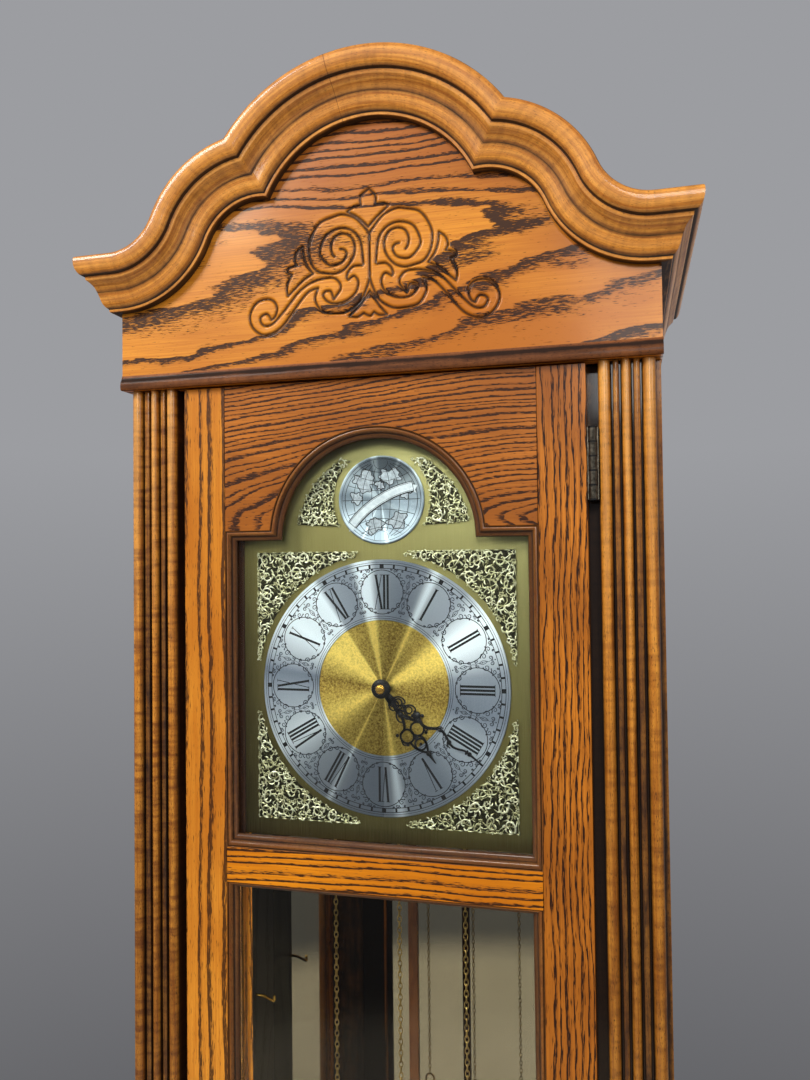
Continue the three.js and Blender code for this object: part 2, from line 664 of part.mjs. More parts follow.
piece('dial_plate', dialPlate(), plateGold);
piece('chapter_ring', ringPlate(RING_OUTER, RING_INNER, 32), silver);
piece('dial_centre', ringPlate(RING_INNER - GAP, HAND_HOLE, 24), brightBrass);
piece('arch_disc', archDisc(), silver);
leftAndRight('spandrel_top', cornerSpandrel(false), antiqueBrass);
leftAndRight('spandrel_bottom', cornerSpandrel(true), antiqueBrass);
leftAndRight('arch_spandrel', archSpandrel(), antiqueBrass);

// ---------------------------------------------------------------- hands

const HOUR_Y = DIAL_Y - 6.2;
const MINUTE_Y = DIAL_Y - 9.2;
const HAND_THICK = 1;
const HOUR_LENGTH = 84;
const MINUTE_LENGTH = 115;

const HUB_RADIUS = 7;
const HAND_NECK = 9; // where the hub has narrowed to the blade
const TIP_HALF = 0.8;

// Outline of a hand that points up: a round hub, a narrow blade with a scrolled belly, a fine tip.
function handShape(length, waist, belly, bellyStart, bellyEnd) {
  const middle = (bellyStart + bellyEnd) / 2;
  const shape = new THREE.Shape();
  shape.moveTo(0, -HUB_RADIUS);
  shape.quadraticCurveTo(HUB_RADIUS, -HUB_RADIUS, HUB_RADIUS, 0);
  shape.quadraticCurveTo(HUB_RADIUS, 6, waist, HAND_NECK);
  shape.lineTo(waist, bellyStart);
  shape.quadraticCurveTo(belly, bellyStart + 4, belly, middle);
  shape.quadraticCurveTo(belly, bellyEnd - 6, waist, bellyEnd);
  shape.lineTo(TIP_HALF, length);
  shape.lineTo(-TIP_HALF, length);
  shape.lineTo(-waist, bellyEnd);
  shape.quadraticCurveTo(-belly, bellyEnd - 6, -belly, middle);
  shape.quadraticCurveTo(-belly, bellyStart + 4, -waist, bellyStart);
  shape.lineTo(-waist, HAND_NECK);
  shape.quadraticCurveTo(-HUB_RADIUS, 6, -HUB_RADIUS, 0);
  shape.quadraticCurveTo(-HUB_RADIUS, -HUB_RADIUS, 0, -HUB_RADIUS);
  return shape;
}

function hand(shape, frontY, clockwiseDegrees) {
  const blade = plateFacingFront(shape, frontY, frontY + HAND_THICK, 5);
  return blade.rotateY(clockwiseDegrees * Math.PI / 180).translate(0, 0, DIAL_Z);
}

const PIPE_OUTER = 4.6;
const PIPE_INNER = 3.2;
const ARBOR_RADIUS = 2.4;

function hourHand() {
  const blade = hand(handShape(HOUR_LENGTH, 1.8, 13, 18, 58), HOUR_Y, HOUR_ANGLE);
  const pipe = rodAlongY(PIPE_OUTER, 0, DIAL_Z, HOUR_Y + 0.2, PLATE_FRONT_Y - 3);
  const bore = rodAlongY(PIPE_INNER, 0, DIAL_Z, HOUR_Y - 2, PLATE_FRONT_Y);
  return cut(join(blade, pipe), bore);
}

function minuteHand() {
  const blade = hand(handShape(MINUTE_LENGTH, 1.5, 10, 24, 66), MINUTE_Y, MINUTE_ANGLE);
  const bore = rodAlongY(ARBOR_RADIUS + GAP, 0, DIAL_Z, MINUTE_Y - 2, MINUTE_Y + 3);
  return cut(blade, bore);
}

function handNut() {
  const nut = turnedAlongY([
    [0, MINUTE_Y - 4.3], [2.6, MINUTE_Y - 4.1], [3.4, MINUTE_Y - 3], [3.4, MINUTE_Y - 2], [5.2, MINUTE_Y - 1.4],
    [5.2, MINUTE_Y - GAP], [0, MINUTE_Y - GAP],
  ], 0, DIAL_Z, 14);
  const thread = rodAlongY(ARBOR_RADIUS + GAP, 0, DIAL_Z, MINUTE_Y - 2.2, MINUTE_Y + 1);
  return cut(nut, thread);
}

piece('hour_hand', hourHand(), black);
piece('minute_hand', minuteHand(), black);
piece('hand_nut', handNut(), brightBrass);

// ---------------------------------------------------------------- movement

const PLATE_LEFT = -80;
const PLATE_RIGHT = 112;
const PILLAR_RADIUS = 4;
const PILLAR_PLACES = [[-75, 64], [107, 64], [-75, -80], [107, -80]];
const WHEEL_ARBOR = 2.4;
const ARBOR_HOLE = 3;
const CHAIN_WHEEL_X = SPROCKET_RADIUS;
const ESCAPE_Z = DIAL_Z + 36;
const CHAIN_XS = { left: -WEIGHT_SPACING, centre: 0, right: WEIGHT_SPACING };

function movementPlate(frontY) {
  return boxBetween(
    PLATE_LEFT, PLATE_RIGHT, frontY, frontY + PLATE_THICK, MOVEMENT_BOTTOM, MOVEMENT_TOP);
}

function arborHoles(frontY) {
  const places = [[CHAIN_WHEEL_X, SPROCKET_Z], [0, ESCAPE_Z], [0, PENDULUM_PIVOT_Z]];
  return places.map(([x, z]) => rodAlongY(ARBOR_HOLE, x, z, frontY - 1, frontY + PLATE_THICK + 1, 12));
}

function movementFrontPlate() {
  const pipeHole = rodAlongY(HAND_HOLE, 0, DIAL_Z, PLATE_FRONT_Y - 1, PLATE_FRONT_Y + PLATE_THICK + 1);
  return cut(movementPlate(PLATE_FRONT_Y), pipeHole, ...arborHoles(PLATE_FRONT_Y));
}

function movementBackPlate() {
  const pillars = PILLAR_PLACES.map(([x, z]) => rodAlongY(
    PILLAR_RADIUS, x, DIAL_Z + z, PLATE_FRONT_Y + PLATE_THICK + GAP, PLATE_BACK_Y + 1, 12));
  const suspensionCock = boxBetween(
    -9, 9, PLATE_BACK_Y + 2, PENDULUM_Y + 5, PENDULUM_PIVOT_Z + 5, PENDULUM_PIVOT_Z + 15);
  const centreHole = rodAlongY(ARBOR_HOLE, 0, DIAL_Z, PLATE_BACK_Y - 1, PLATE_BACK_Y + PLATE_THICK + 1, 12);
  const plate = join(movementPlate(PLATE_BACK_Y), ...pillars, suspensionCock);
  return cut(plate, centreHole, ...arborHoles(PLATE_BACK_Y));
}

// A wheel's arbor runs in both plates; its pivots stop level with their outer faces.
function arbor(x, z, frontY = PLATE_FRONT_Y + 0.5) {
  return rodAlongY(WHEEL_ARBOR, x, z, frontY, PLATE_BACK_Y + PLATE_THICK - 0.5, 10);
}

const TOOTH_DEPTH = 2;

function toothedWheel(radius, teeth, x, z, y0, y1) {
  const shape = new THREE.Shape();
  for (let tooth = 0; tooth < teeth; tooth += 1) {
    for (const [part, reach] of [[0, -TOOTH_DEPTH], [0.5, -TOOTH_DEPTH], [0.6, 0], [0.9, 0]]) {
      const angle = (tooth + part) / teeth * Math.PI * 2;
      const distance = radius + reach;
      const point = [x + distance * Math.cos(angle), z + distance * Math.sin(angle)];
      if (tooth === 0 && part === 0) {
        shape.moveTo(...point);
      } else {
        shape.lineTo(...point);
      }
    }
  }
  return plateFacingFront(shape, y0, y1);
}

const GREAT_WHEEL = { radius: 30, teeth: 24, y: -70 };
const CENTRE_WHEEL = { radius: 26, teeth: 20, y: -44 };
const ESCAPE_WHEEL = { radius: 13, teeth: 15, y: -34 };
const CENTRE_PINION_RADIUS = 8;

function chainWheel() {
  const x = CHAIN_WHEEL_X;
  const wheel = toothedWheel(
    GREAT_WHEEL.radius, GREAT_WHEEL.teeth, x, SPROCKET_Z, GREAT_WHEEL.y, GREAT_WHEEL.y + 2.5);
  const sprocket = rodAlongY(SPROCKET_RADIUS - 3.5, x, SPROCKET_Z, GREAT_WHEEL.y + 2, CHAIN_Y + 6, 20);
  return join(arbor(x, SPROCKET_Z), wheel, sprocket);
}

function centreWheel() {
  const wheel = toothedWheel(
    CENTRE_WHEEL.radius, CENTRE_WHEEL.teeth, 0, DIAL_Z, CENTRE_WHEEL.y, CENTRE_WHEEL.y + 2);
  const pinion = rodAlongY(
    CENTRE_PINION_RADIUS, 0, DIAL_Z, GREAT_WHEEL.y - 1, GREAT_WHEEL.y + 4, 16);
  return join(arbor(0, DIAL_Z, MINUTE_Y - 1.9), wheel, pinion);
}

function escapeWheel() {
  const wheel = toothedWheel(
    ESCAPE_WHEEL.radius, ESCAPE_WHEEL.teeth, 0, ESCAPE_Z, ESCAPE_WHEEL.y, ESCAPE_WHEEL.y + 1.5);
  return join(arbor(0, ESCAPE_Z), wheel);
}

// The anchor straddles the escape wheel; its arbor carries the crutch behind the back plate.
const CRUTCH_Y = PLATE_BACK_Y + PLATE_THICK + 4;
const CRUTCH_LENGTH = 62;

function palletAnchor() {
  const z = PENDULUM_PIVOT_Z;
  const anchorShape = polygon([
    [0, z + 4], [-11, z + 1], [-17.5, z - 15], [-14.5, z - 16], [-8.5, z - 4.5],
    [8.5, z - 4.5], [14.5, z - 16], [17.5, z - 15], [11, z + 1],
  ]);
  const anchor = plateFacingFront(anchorShape, ESCAPE_WHEEL.y - 0.5, ESCAPE_WHEEL.y + 2);
  const shaft = rodAlongY(WHEEL_ARBOR, 0, z, PLATE_FRONT_Y + 0.5, CRUTCH_Y + 2, 10);
  const crutch = boxBetween(-2, 2, CRUTCH_Y, CRUTCH_Y + 2, z - CRUTCH_LENGTH, z + 3);
  const fork = boxBetween(-9, 9, CRUTCH_Y, CRUTCH_Y + 2, z - CRUTCH_LENGTH, z - CRUTCH_LENGTH + 8);
  const prongs = [-1, 1].map((side) => boxBetween(
    side * 7.5 - 1.5, side * 7.5 + 1.5, CRUTCH_Y, PENDULUM_Y + 4, z - CRUTCH_LENGTH,
    z - CRUTCH_LENGTH + 8));
  return join(anchor, shaft, crutch, fork, ...prongs);
}

piece('movement_front_plate', movementFrontPlate(), brightBrass);
piece('movement_back_plate', movementBackPlate(), brightBrass);
piece('chain_wheel', chainWheel(), brightBrass);
piece('centre_wheel', centreWheel(), brightBrass);
piece('escape_wheel', escapeWheel(), brightBrass);
piece('pallet_anchor', palletAnchor(), steel);

function seatboard() {
  const board = boxBetween(
    GAP - CASE_INNER, CASE_INNER - GAP, DIAL_Y + 6, DIAL_Y + 120, SEATBOARD_BOTTOM,
    MOVEMENT_BOTTOM - GAP);
  const chainSlots = Object.values(CHAIN_XS).map((x) => boxBetween(
    x - 6, x + 2 * SPROCKET_RADIUS + 6, CHAIN_Y - 6, CHAIN_Y + 6, SEATBOARD_BOTTOM - 1, MOVEMENT_BOTTOM));
  const pendulumSlot = boxBetween(-30, 30, -14, 22, SEATBOARD_BOTTOM - 1, MOVEMENT_BOTTOM);
  return cut(board, ...chainSlots, pendulumSlot);
}

const CHIME_BLOCK = { bottom: 1496, top: 1520, front: 96, half: 70 };
const CHIME_ROD_COUNT = 8;
const CHIME_ROD_LONGEST = 285;
const CHIME_ROD_STEP = 13;

function chimeRods() {
  const block = boxBetween(
    -CHIME_BLOCK.half, CHIME_BLOCK.half, CHIME_BLOCK.front, BACK_PANEL_Y - GAP, CHIME_BLOCK.bottom,
    CHIME_BLOCK.top);
  const pitch = 2 * (CHIME_BLOCK.half - 10) / (CHIME_ROD_COUNT - 1);
  const rods = Array.from({ length: CHIME_ROD_COUNT }, (_, index) => rodUpright(
    2, 10 - CHIME_BLOCK.half + index * pitch, CHIME_BLOCK.front + 10,
    CHIME_BLOCK.bottom - CHIME_ROD_LONGEST + index * CHIME_ROD_STEP, CHIME_BLOCK.bottom + 5, 8));
  return join(block, ...rods);
}

piece('seatboard', seatboard(), darkWood);
piece('chime_rods', chimeRods(), steel);

// ---------------------------------------------------------------- pendulum

const ROD_HALF_WIDTH = 5;
const ROD_HALF_DEPTH = 3;
const RATING_SCREW_BOTTOM = BOB_Z - BOB_RADIUS - 34;

function pendulumRod() {
  const z = PENDULUM_PIVOT_Z;
  const spring = boxBetween(-4, 4, PENDULUM_Y - 0.4, PENDULUM_Y + 0.4, z - 18, z + 4.5);
  const rod = boxBetween(
    -ROD_HALF_WIDTH, ROD_HALF_WIDTH, PENDULUM_Y - ROD_HALF_DEPTH, PENDULUM_Y + ROD_HALF_DEPTH,
    BOB_Z - BOB_RADIUS - 6, z - 15);
  const screw = rodUpright(1.6, 0, PENDULUM_Y, RATING_SCREW_BOTTOM, BOB_Z - BOB_RADIUS - 5, 8);
  const ratingNut = rodUpright(8, 0, PENDULUM_Y, BOB_Z - BOB_RADIUS - 22, BOB_Z - BOB_RADIUS - 14, 16);
  return join(spring, rod, screw, ratingNut);
}

function pendulumBob() {
  const shell = turnedAlongY([
    [0, PENDULUM_Y - 13], [30, PENDULUM_Y - 12], [55, PENDULUM_Y - 8], [BOB_RADIUS, PENDULUM_Y - 1.5],
    [BOB_RADIUS, PENDULUM_Y + 1.5], [55, PENDULUM_Y + 8], [0, PENDULUM_Y + 10],
  ], 0, BOB_Z, 32);
  const rodSlot = boxBetween(
    -ROD_HALF_WIDTH - GAP, ROD_HALF_WIDTH + GAP, PENDULUM_Y - ROD_HALF_DEPTH - GAP, PENDULUM_Y + 20,
    BOB_Z - 200, BOB_Z + 200);
  return cut(shell, rodSlot);
}

piece('pendulum_rod', pendulumRod(), darkWood);
piece('pendulum_bob', pendulumBob(), brightBrass);

// ---------------------------------------------------------------- weights and chains

function weight(x) {
  const bottom = WEIGHT_BOTTOM;
  const top = bottom + WEIGHT_HEIGHT;
  const hookTop = top + WEIGHT_HOOK;
  return turnedUpright([
    [0, hookTop], [2.5, hookTop], [2.5, top + 8], [6, top + 6], [9, top + 1], [WEIGHT_RADIUS, top],
    [WEIGHT_RADIUS, bottom], [9, bottom - 1], [6, bottom - 7], [0, bottom - 9],
  ].reverse(), x, CHAIN_Y, 18);
}

const CHAIN_RADIUS = 2;

function chain(x) {
  return rodUpright(
    CHAIN_RADIUS, x, CHAIN_Y, WEIGHT_BOTTOM + WEIGHT_HEIGHT + WEIGHT_HOOK + GAP, SPROCKET_Z, 8);
}

for (const [place, x] of Object.entries(CHAIN_XS)) {
  piece(`weight_${place}`, weight(x), brightBrass);
  piece(`chain_${place}`, chain(x), antiqueBrass);
}

export default clock;
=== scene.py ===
"""Looks of the oak longcase clock: mouldings, carving, dial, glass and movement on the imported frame."""

import math
import random

import bmesh
import bpy
import numpy as np
from mathutils import Matrix, Vector
from mathutils.geometry import tessellate_polygon


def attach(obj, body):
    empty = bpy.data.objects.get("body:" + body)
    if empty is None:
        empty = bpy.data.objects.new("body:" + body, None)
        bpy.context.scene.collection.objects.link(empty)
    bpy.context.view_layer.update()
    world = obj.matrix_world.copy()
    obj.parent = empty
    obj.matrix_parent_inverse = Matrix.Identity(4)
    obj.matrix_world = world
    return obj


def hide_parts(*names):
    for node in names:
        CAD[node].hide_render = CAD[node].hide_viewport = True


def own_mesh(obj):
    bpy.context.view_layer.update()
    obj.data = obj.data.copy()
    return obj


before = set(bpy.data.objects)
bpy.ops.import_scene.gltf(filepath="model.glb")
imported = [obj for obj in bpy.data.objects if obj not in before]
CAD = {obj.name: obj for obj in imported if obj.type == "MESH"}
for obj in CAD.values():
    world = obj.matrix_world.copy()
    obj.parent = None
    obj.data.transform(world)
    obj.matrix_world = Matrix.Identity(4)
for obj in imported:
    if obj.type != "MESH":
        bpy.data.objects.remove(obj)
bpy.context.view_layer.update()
MM = 0.001
TAU = math.tau

# ------------------------------------------------------------------ sizes, in mm, same as the CAD

DIAL_Z = 1382.0
DIAL_Y = -100.0
PLATE_FACE = DIAL_Y - 0.3
PLATE_BOTTOM = 1238.0
PLATE_HALF = 140.0
DISC_RISE = 176.0  # centre of the small disc above the hands
DISC_Z = DIAL_Z + DISC_RISE
CASE_BACK = 165.0
FRIEZE_BOTTOM = DIAL_Z + 288.4
FRIEZE_FRONT = -132.0
FRIEZE_BACK = -112.0
FRIEZE_HALF = 254.8
CROWN_SPRING = DIAL_Z + 364.5
DOOR_FRONT = -126.0
DOOR_BACK = -104.0
DOOR_BOTTOM = 455.0
DOOR_TOP = FRIEZE_BOTTOM - 1.6
DOOR_HALF = 191.0
SIGHT = 139.0
SHOULDER_Z = DIAL_Z + 139.0
DOOR_ARCH = 92.5
DIAL_SIGHT_BOTTOM = DIAL_Z - 138.7
WAIST_SIGHT_TOP = DIAL_Z - 189.0
WAIST_SIGHT_BOTTOM = 516.0
CASE_OUTER = 244.0
CASE_INNER = 222.0
CAP_TOP = 452.0
BASE_TOP = 408.0
PLINTH_TOP = 110.0
GAP = 0.3  # left between pieces that touch
SIDES = ((-1.0, "left"), (1.0, "right"))

# ------------------------------------------------------------------ camera

CAMERA_PLACE = (0.2224, -0.8678, 1.5002)
CAMERA_TURNS = (0.2548, 0.0248, -0.0109)  # yaw, pitch and roll in radians
CAMERA_LENS = 28.33


def aim_camera():
    """Stands to the right of the clock, above the dial, and looks slightly up and left."""
    yaw, pitch, roll = CAMERA_TURNS
    forward = Vector((-math.sin(yaw) * math.cos(pitch), math.cos(yaw) * math.cos(pitch), math.sin(pitch)))
    level = Vector((math.cos(yaw), math.sin(yaw), 0.0))
    above = level.cross(forward)
    right = math.cos(roll) * level + math.sin(roll) * above
    up = -math.sin(roll) * level + math.cos(roll) * above
    data = bpy.data.cameras.new("camera")
    data.lens = CAMERA_LENS
    data.sensor_width = 36.0
    data.clip_start = 0.02
    data.clip_end = 100.0
    camera = bpy.data.objects.new("camera", data)
    bpy.context.scene.collection.objects.link(camera)
    rotation = Matrix((right, up, -forward)).transposed()
    camera.matrix_world = Matrix.Translation(CAMERA_PLACE) @ rotation.to_4x4()
    bpy.context.scene.camera = camera


aim_camera()

# ------------------------------------------------------------------ materials


def srgb(red, green, blue):
    """A colour from 0 to 255 as a linear RGBA tuple."""
    linear = []
    for value in (red, green, blue):
        share = value / 255.0
        linear.append(share / 12.92 if share <= 0.04045 else ((share + 0.055) / 1.055) ** 2.4)
    return (*linear, 1.0)


class Finish:
    """A material's node tree, with one short call for each kind of node."""

    def __init__(self, name):
        self.material = bpy.data.materials.new(name)
        self.material.use_nodes = True
        self.tree = self.material.node_tree
        self.shader = self.tree.nodes["Principled BSDF"]

    def node(self, kind, inputs=None, **settings):
        made = self.tree.nodes.new(kind)
        for key, value in settings.items():
            setattr(made, key, value)
        for key, value in (inputs or {}).items():
            self.plug(made.inputs[key], value)
        return made

    def plug(self, socket, value):
        if isinstance(value, bpy.types.NodeSocket):
            self.tree.links.new(value, socket)
        else:
            socket.default_value = value

    def set(self, **values):
        for key, value in values.items():
            self.plug(self.shader.inputs[key.replace("_", " ")], value)

    def math(self, operation, a, b=0.0, c=0.0, clamp=False):
        made = self.node("ShaderNodeMath", {0: a, 1: b, 2: c}, operation=operation, use_clamp=clamp)
        return made.outputs[0]

    def times(self, a, b, clamp=False):
        return self.math("MULTIPLY", a, b, clamp=clamp)

    def plus(self, a, b, clamp=False):
        return self.math("ADD", a, b, clamp=clamp)

    def minus(self, a, b, clamp=False):
        return self.math("SUBTRACT", a, b, clamp=clamp)

    def over(self, a, b, clamp=False):
        return self.math("DIVIDE", a, b, clamp=clamp)

    def vector(self, x, y, z):
        return self.node("ShaderNodeCombineXYZ", {0: x, 1: y, 2: z}).outputs[0]

    def noise(self, vector, scale=1.0, detail=2.0, roughness=0.5, distortion=0.0):
        inputs = {"Vector": vector, "Scale": scale, "Detail": detail,
                  "Roughness": roughness, "Distortion": distortion}
        return self.node("ShaderNodeTexNoise", inputs).outputs["Fac"]

    def ramp(self, value, stops, interpolation="LINEAR"):
        made = self.node("ShaderNodeValToRGB", {0: value})
        made.color_ramp.interpolation = interpolation
        elements = made.color_ramp.elements
        while len(elements) < len(stops):
            elements.new(0.5)
        for element, (position, colour) in zip(elements, stops):
            element.position = position
            element.color = colour if isinstance(colour, tuple) else (colour, colour, colour, 1.0)
        return made.outputs[0]

    def mix(self, share, a, b, blend="MIX"):
        made = self.node("ShaderNodeMix", {0: share, 6: a, 7: b}, data_type="RGBA", blend_type=blend)
        return made.outputs[2]

    def attribute(self, name):
        return self.node("ShaderNodeAttribute", attribute_name=name)

    def place(self):
        """X, Y and Z in the row frame, in mm."""
        position = self.node("ShaderNodeTexCoord").outputs["Object"]
        scaled = self.node("ShaderNodeVectorMath", {0: position, "Scale": 1000.0},
                           operation="SCALE").outputs[0]
        return self.node("ShaderNodeSeparateXYZ", {0: scaled}).outputs

    def path(self):
        """Distance along a moulding, round its profile, and nothing, in mm."""
        vector = self.attribute("grain").outputs["Vector"]
        return self.node("ShaderNodeSeparateXYZ", {0: vector}).outputs

    def bump(self, height, distance_mm, strength=1.0):
        made = self.node("ShaderNodeBump", {"Height": height, "Distance": distance_mm * MM,
                                            "Strength": strength})
        self.plug(self.shader.inputs["Normal"], made.outputs[0])


HONEY = srgb(218, 142, 44)
AMBER = srgb(178, 102, 24)
BROWN = srgb(118, 62, 18)
STAIN = srgb(42, 18, 5)
# Darkening for positive shade: painted shade in creases, grooves, coves and gaps, together with stain left in
# the hollows.
DEEP = srgb(24, 11, 5)
# Lightening for negative shade: wear on edges and rounds, together with painted light at the tops of the
# columns.
WORN_AND_LIT = srgb(240, 180, 104)
# Painted shade for the case's inner faces and the door's back faces, which sit in shade.
INSIDE_SHADE = srgb(27, 19, 14)


def wood(name, axes="xzy", pith=(0.0, -30.0), lean=0.12, ring=9.0, seed=0.0, bands=0.85,
         light=HONEY, middle=AMBER, dark=STAIN, wobble=9.0, tick=0.13, skew=0.0, uneven=0.8, rough=0.36,
         inside_shade=None, fray=2.7, loose=0.66, darker_above=None, coat=0.16):
    """Lacquered oak: growth rings cut lengthwise, broken into open pores, under a satin coat.

    axes names the row axes that run along the grain, across it and into the board. The tree's
    centre line is at pith across and behind, and leans towards the face, which makes the arches.
    """
    f = Finish(name)
    x, y, z = f.place()
    by_name = {"x": x, "y": y, "z": z}
    along, across, into = (by_name[axis] for axis in axes)
    drift = f.noise(f.vector(f.times(along, 0.0035), f.times(across, 0.006), seed), detail=1.5)
    side = f.plus(f.minus(across, pith[0]), f.times(f.minus(drift, 0.5), wobble * 6.0))
    side = f.plus(side, f.times(f.math("ABSOLUTE", side), skew))
    behind = f.plus(f.times(along, lean), f.minus(into, pith[1]))
    distance = f.math("SQRT", f.plus(f.times(side, side), f.times(behind, behind)))
    waver = f.noise(f.vector(f.times(along, 0.02), f.times(across, 0.08), seed + 3.0), detail=2.5)
    distance = f.plus(distance, f.times(f.minus(waver, 0.5), wobble))
    widths = f.noise(f.vector(f.times(distance, 0.35 / ring), seed, 0.0), detail=1.0)
    distance = f.plus(distance, f.times(f.minus(widths, 0.5), ring * 4.0 * uneven))
    turns = f.over(distance, ring)
    band = f.ramp(f.math("FRACT", turns), [(0.0, 0.7), (0.05, 1.0), (0.2, 0.84), (0.34, 0.4), (0.5, 0.03),
                                           (0.95, 0.0), (1.0, 0.7)])
    year = f.noise(f.vector(f.times(f.math("FLOOR", turns), 0.77), seed, 0.5))
    band = f.times(band, f.ramp(year, [(0.3, 0.62), (0.55, 1.0)]))
    pore = f.noise(f.vector(f.times(along, tick), f.times(across, 1.15), f.times(into, 1.15)), detail=2.0,
                   roughness=0.6)
    spread = f.times(f.minus(pore, 0.5), fray)
    mark = f.ramp(f.plus(band, spread), [(0.44, 0.0), (0.66, 1.0)])
    stray = f.ramp(pore, [(loose, 0.0), (loose + 0.06, 0.5)])
    mark = f.times(f.math("MAXIMUM", mark, stray), bands, clamp=True)
    fibre = f.noise(f.vector(f.times(along, 0.014), f.times(across, 0.6), f.times(into, 0.6)), detail=3.0)
    cloud = f.noise(f.vector(f.times(along, 0.006), f.times(across, 0.014), seed + 11.0), detail=2.0)
    ground = f.mix(f.ramp(cloud, [(0.34, 0.0), (0.66, 1.0)]), light, middle)
    ground = f.mix(f.ramp(fibre, [(0.36, 0.6), (0.62, 0.0)]), ground, middle)
    ground = f.mix(f.times(band, 0.5 * bands), ground, BROWN)
    # The board turns darker and redder towards its top, between two heights.
    if darker_above:
        start, end, amount = darker_above
        reach = f.over(f.minus(z, start), end - start, clamp=True)
        ground = f.mix(f.times(reach, amount), ground, srgb(138, 68, 32))
    colour = f.mix(mark, ground, dark)
    shade = f.attribute("shade").outputs["Fac"]
    # Painted shade where the shade attribute is positive, with stain in the hollows; painted light and wear
    # where it is negative.
    colour = f.mix(f.times(shade, 0.94, clamp=True), colour, DEEP)
    colour = f.mix(f.times(shade, -0.6, clamp=True), colour, WORN_AND_LIT)
    # Painted shade: inner faces of the case and back faces of the door are coloured dark, as they sit in
    # shade.
    if inside_shade == "case":
        colour = f.mix(f.math("LESS_THAN", f.math("ABSOLUTE", x), CASE_INNER + 0.6), colour, INSIDE_SHADE)
    if inside_shade == "door":
        colour = f.mix(f.math("GREATER_THAN", y, DOOR_BACK - 0.8), colour, INSIDE_SHADE)
    f.set(Base_Color=colour, Roughness=f.plus(f.times(mark, 0.16), rough))
    f.set(Coat_Weight=coat, Coat_Roughness=0.14, Specular_IOR_Level=0.16)
    f.bump(f.times(mark, -1.0), 0.18, 0.7)
    return f.material


def moulding_wood(name, seed, axes=None, tone=1.0, light=srgb(226, 152, 62), middle=srgb(174, 102, 32),
                  gloss=0.55, rough=0.26, curl=0.3):
    """Close-grained wood for mouldings: cross ripple, small flecks, and painted shade in creases, coves and
    grooves, with stain left in the hollows.

    Without axes the grain follows the moulding's own length.
    """
    f = Finish(name)
    if axes is None:
        along, across, into = f.path()
    else:
        x, y, z = f.place()
        along, across, into = ({"x": x, "y": y, "z": z}[axis] for axis in axes)
    ripple = f.noise(f.vector(f.times(along, 0.17), f.times(across, 0.035), seed), detail=2.0)
    streak = f.noise(f.vector(f.times(along, 0.008), f.times(across, 0.3), f.times(into, 0.3)),
                     detail=3.0, roughness=0.6)
    fleck = f.noise(f.vector(f.times(along, 0.3), f.times(across, 1.5), f.times(into, 1.5)), detail=2.0,
                    roughness=0.6)
    mottle = f.noise(f.vector(f.times(along, 0.022), f.times(across, 0.12), seed + 5.0), detail=4.0,
                     roughness=0.65)
    ground = f.mix(f.ramp(streak, [(0.36, 0.0), (0.66, 1.0)]), light, middle)
    ground = f.mix(f.times(f.ramp(ripple, [(0.44, 0.0), (0.66, 1.0)]), curl * tone, clamp=True), ground,
                   BROWN)
    ground = f.mix(f.times(f.ramp(mottle, [(0.52, 0.0), (0.76, 0.6)]), tone, clamp=True), ground, BROWN)
    ground = f.mix(f.times(f.ramp(fleck, [(0.58, 0.0), (0.68, 0.62)]), tone, clamp=True), ground, STAIN)
    shade = f.attribute("shade").outputs["Fac"]
    # Painted shade from the shade attribute, made uneven by the mottle, together with stain left in the
    # hollows.
    shade_and_glaze = f.times(shade, f.plus(f.times(mottle, 1.3), 0.42), clamp=True)
    colour = f.mix(f.times(shade_and_glaze, 0.96), ground, DEEP)
    # Painted light and wear where the shade attribute is negative.
    colour = f.mix(f.times(shade, -0.7, clamp=True), colour, WORN_AND_LIT)
    dull = f.plus(f.times(mottle, 0.12), f.times(shade_and_glaze, 0.3))
    f.set(Base_Color=colour, Roughness=f.plus(dull, rough))
    f.set(Coat_Weight=gloss, Coat_Roughness=0.09, Specular_IOR_Level=0.22)
    f.bump(f.plus(fleck, f.times(mottle, 2.0)), 0.1, 0.25)
    return f.material


def brushed_plate():
    f = Finish("dial_gold")
    x, y, z = f.place()
    lines = f.noise(f.vector(f.times(x, 2.6), y, f.times(z, 0.03)), detail=3.0, roughness=0.7)
    cloud = f.noise(f.vector(f.times(x, 0.012), y, f.times(z, 0.006)), detail=1.0)
    # Painted reflection and shade: the plate is lighter towards the top and the right, and darker low on the
    # left.
    height = f.over(f.minus(z, PLATE_BOTTOM), 370.0, clamp=True)
    sideways = f.over(f.plus(x, PLATE_HALF), 2.0 * PLATE_HALF, clamp=True)
    painted_light = f.plus(f.times(height, 0.62), f.times(sideways, 0.28))
    painted_light = f.plus(painted_light, f.times(f.minus(cloud, 0.5), 0.3))
    colour = f.ramp(painted_light, [(0.05, srgb(78, 68, 34)), (0.45, srgb(120, 112, 62)), (0.95, srgb(160, 158, 106))])
    colour = f.mix(f.ramp(lines, [(0.3, 0.0), (0.75, 0.28)]), colour, srgb(186, 180, 124))
    f.set(Base_Color=colour, Metallic=1.0, Roughness=f.plus(f.times(lines, 0.16), 0.36))
    f.shader.inputs["Anisotropic"].default_value = 0.5
    f.bump(lines, 0.02, 0.25)
    return f.material


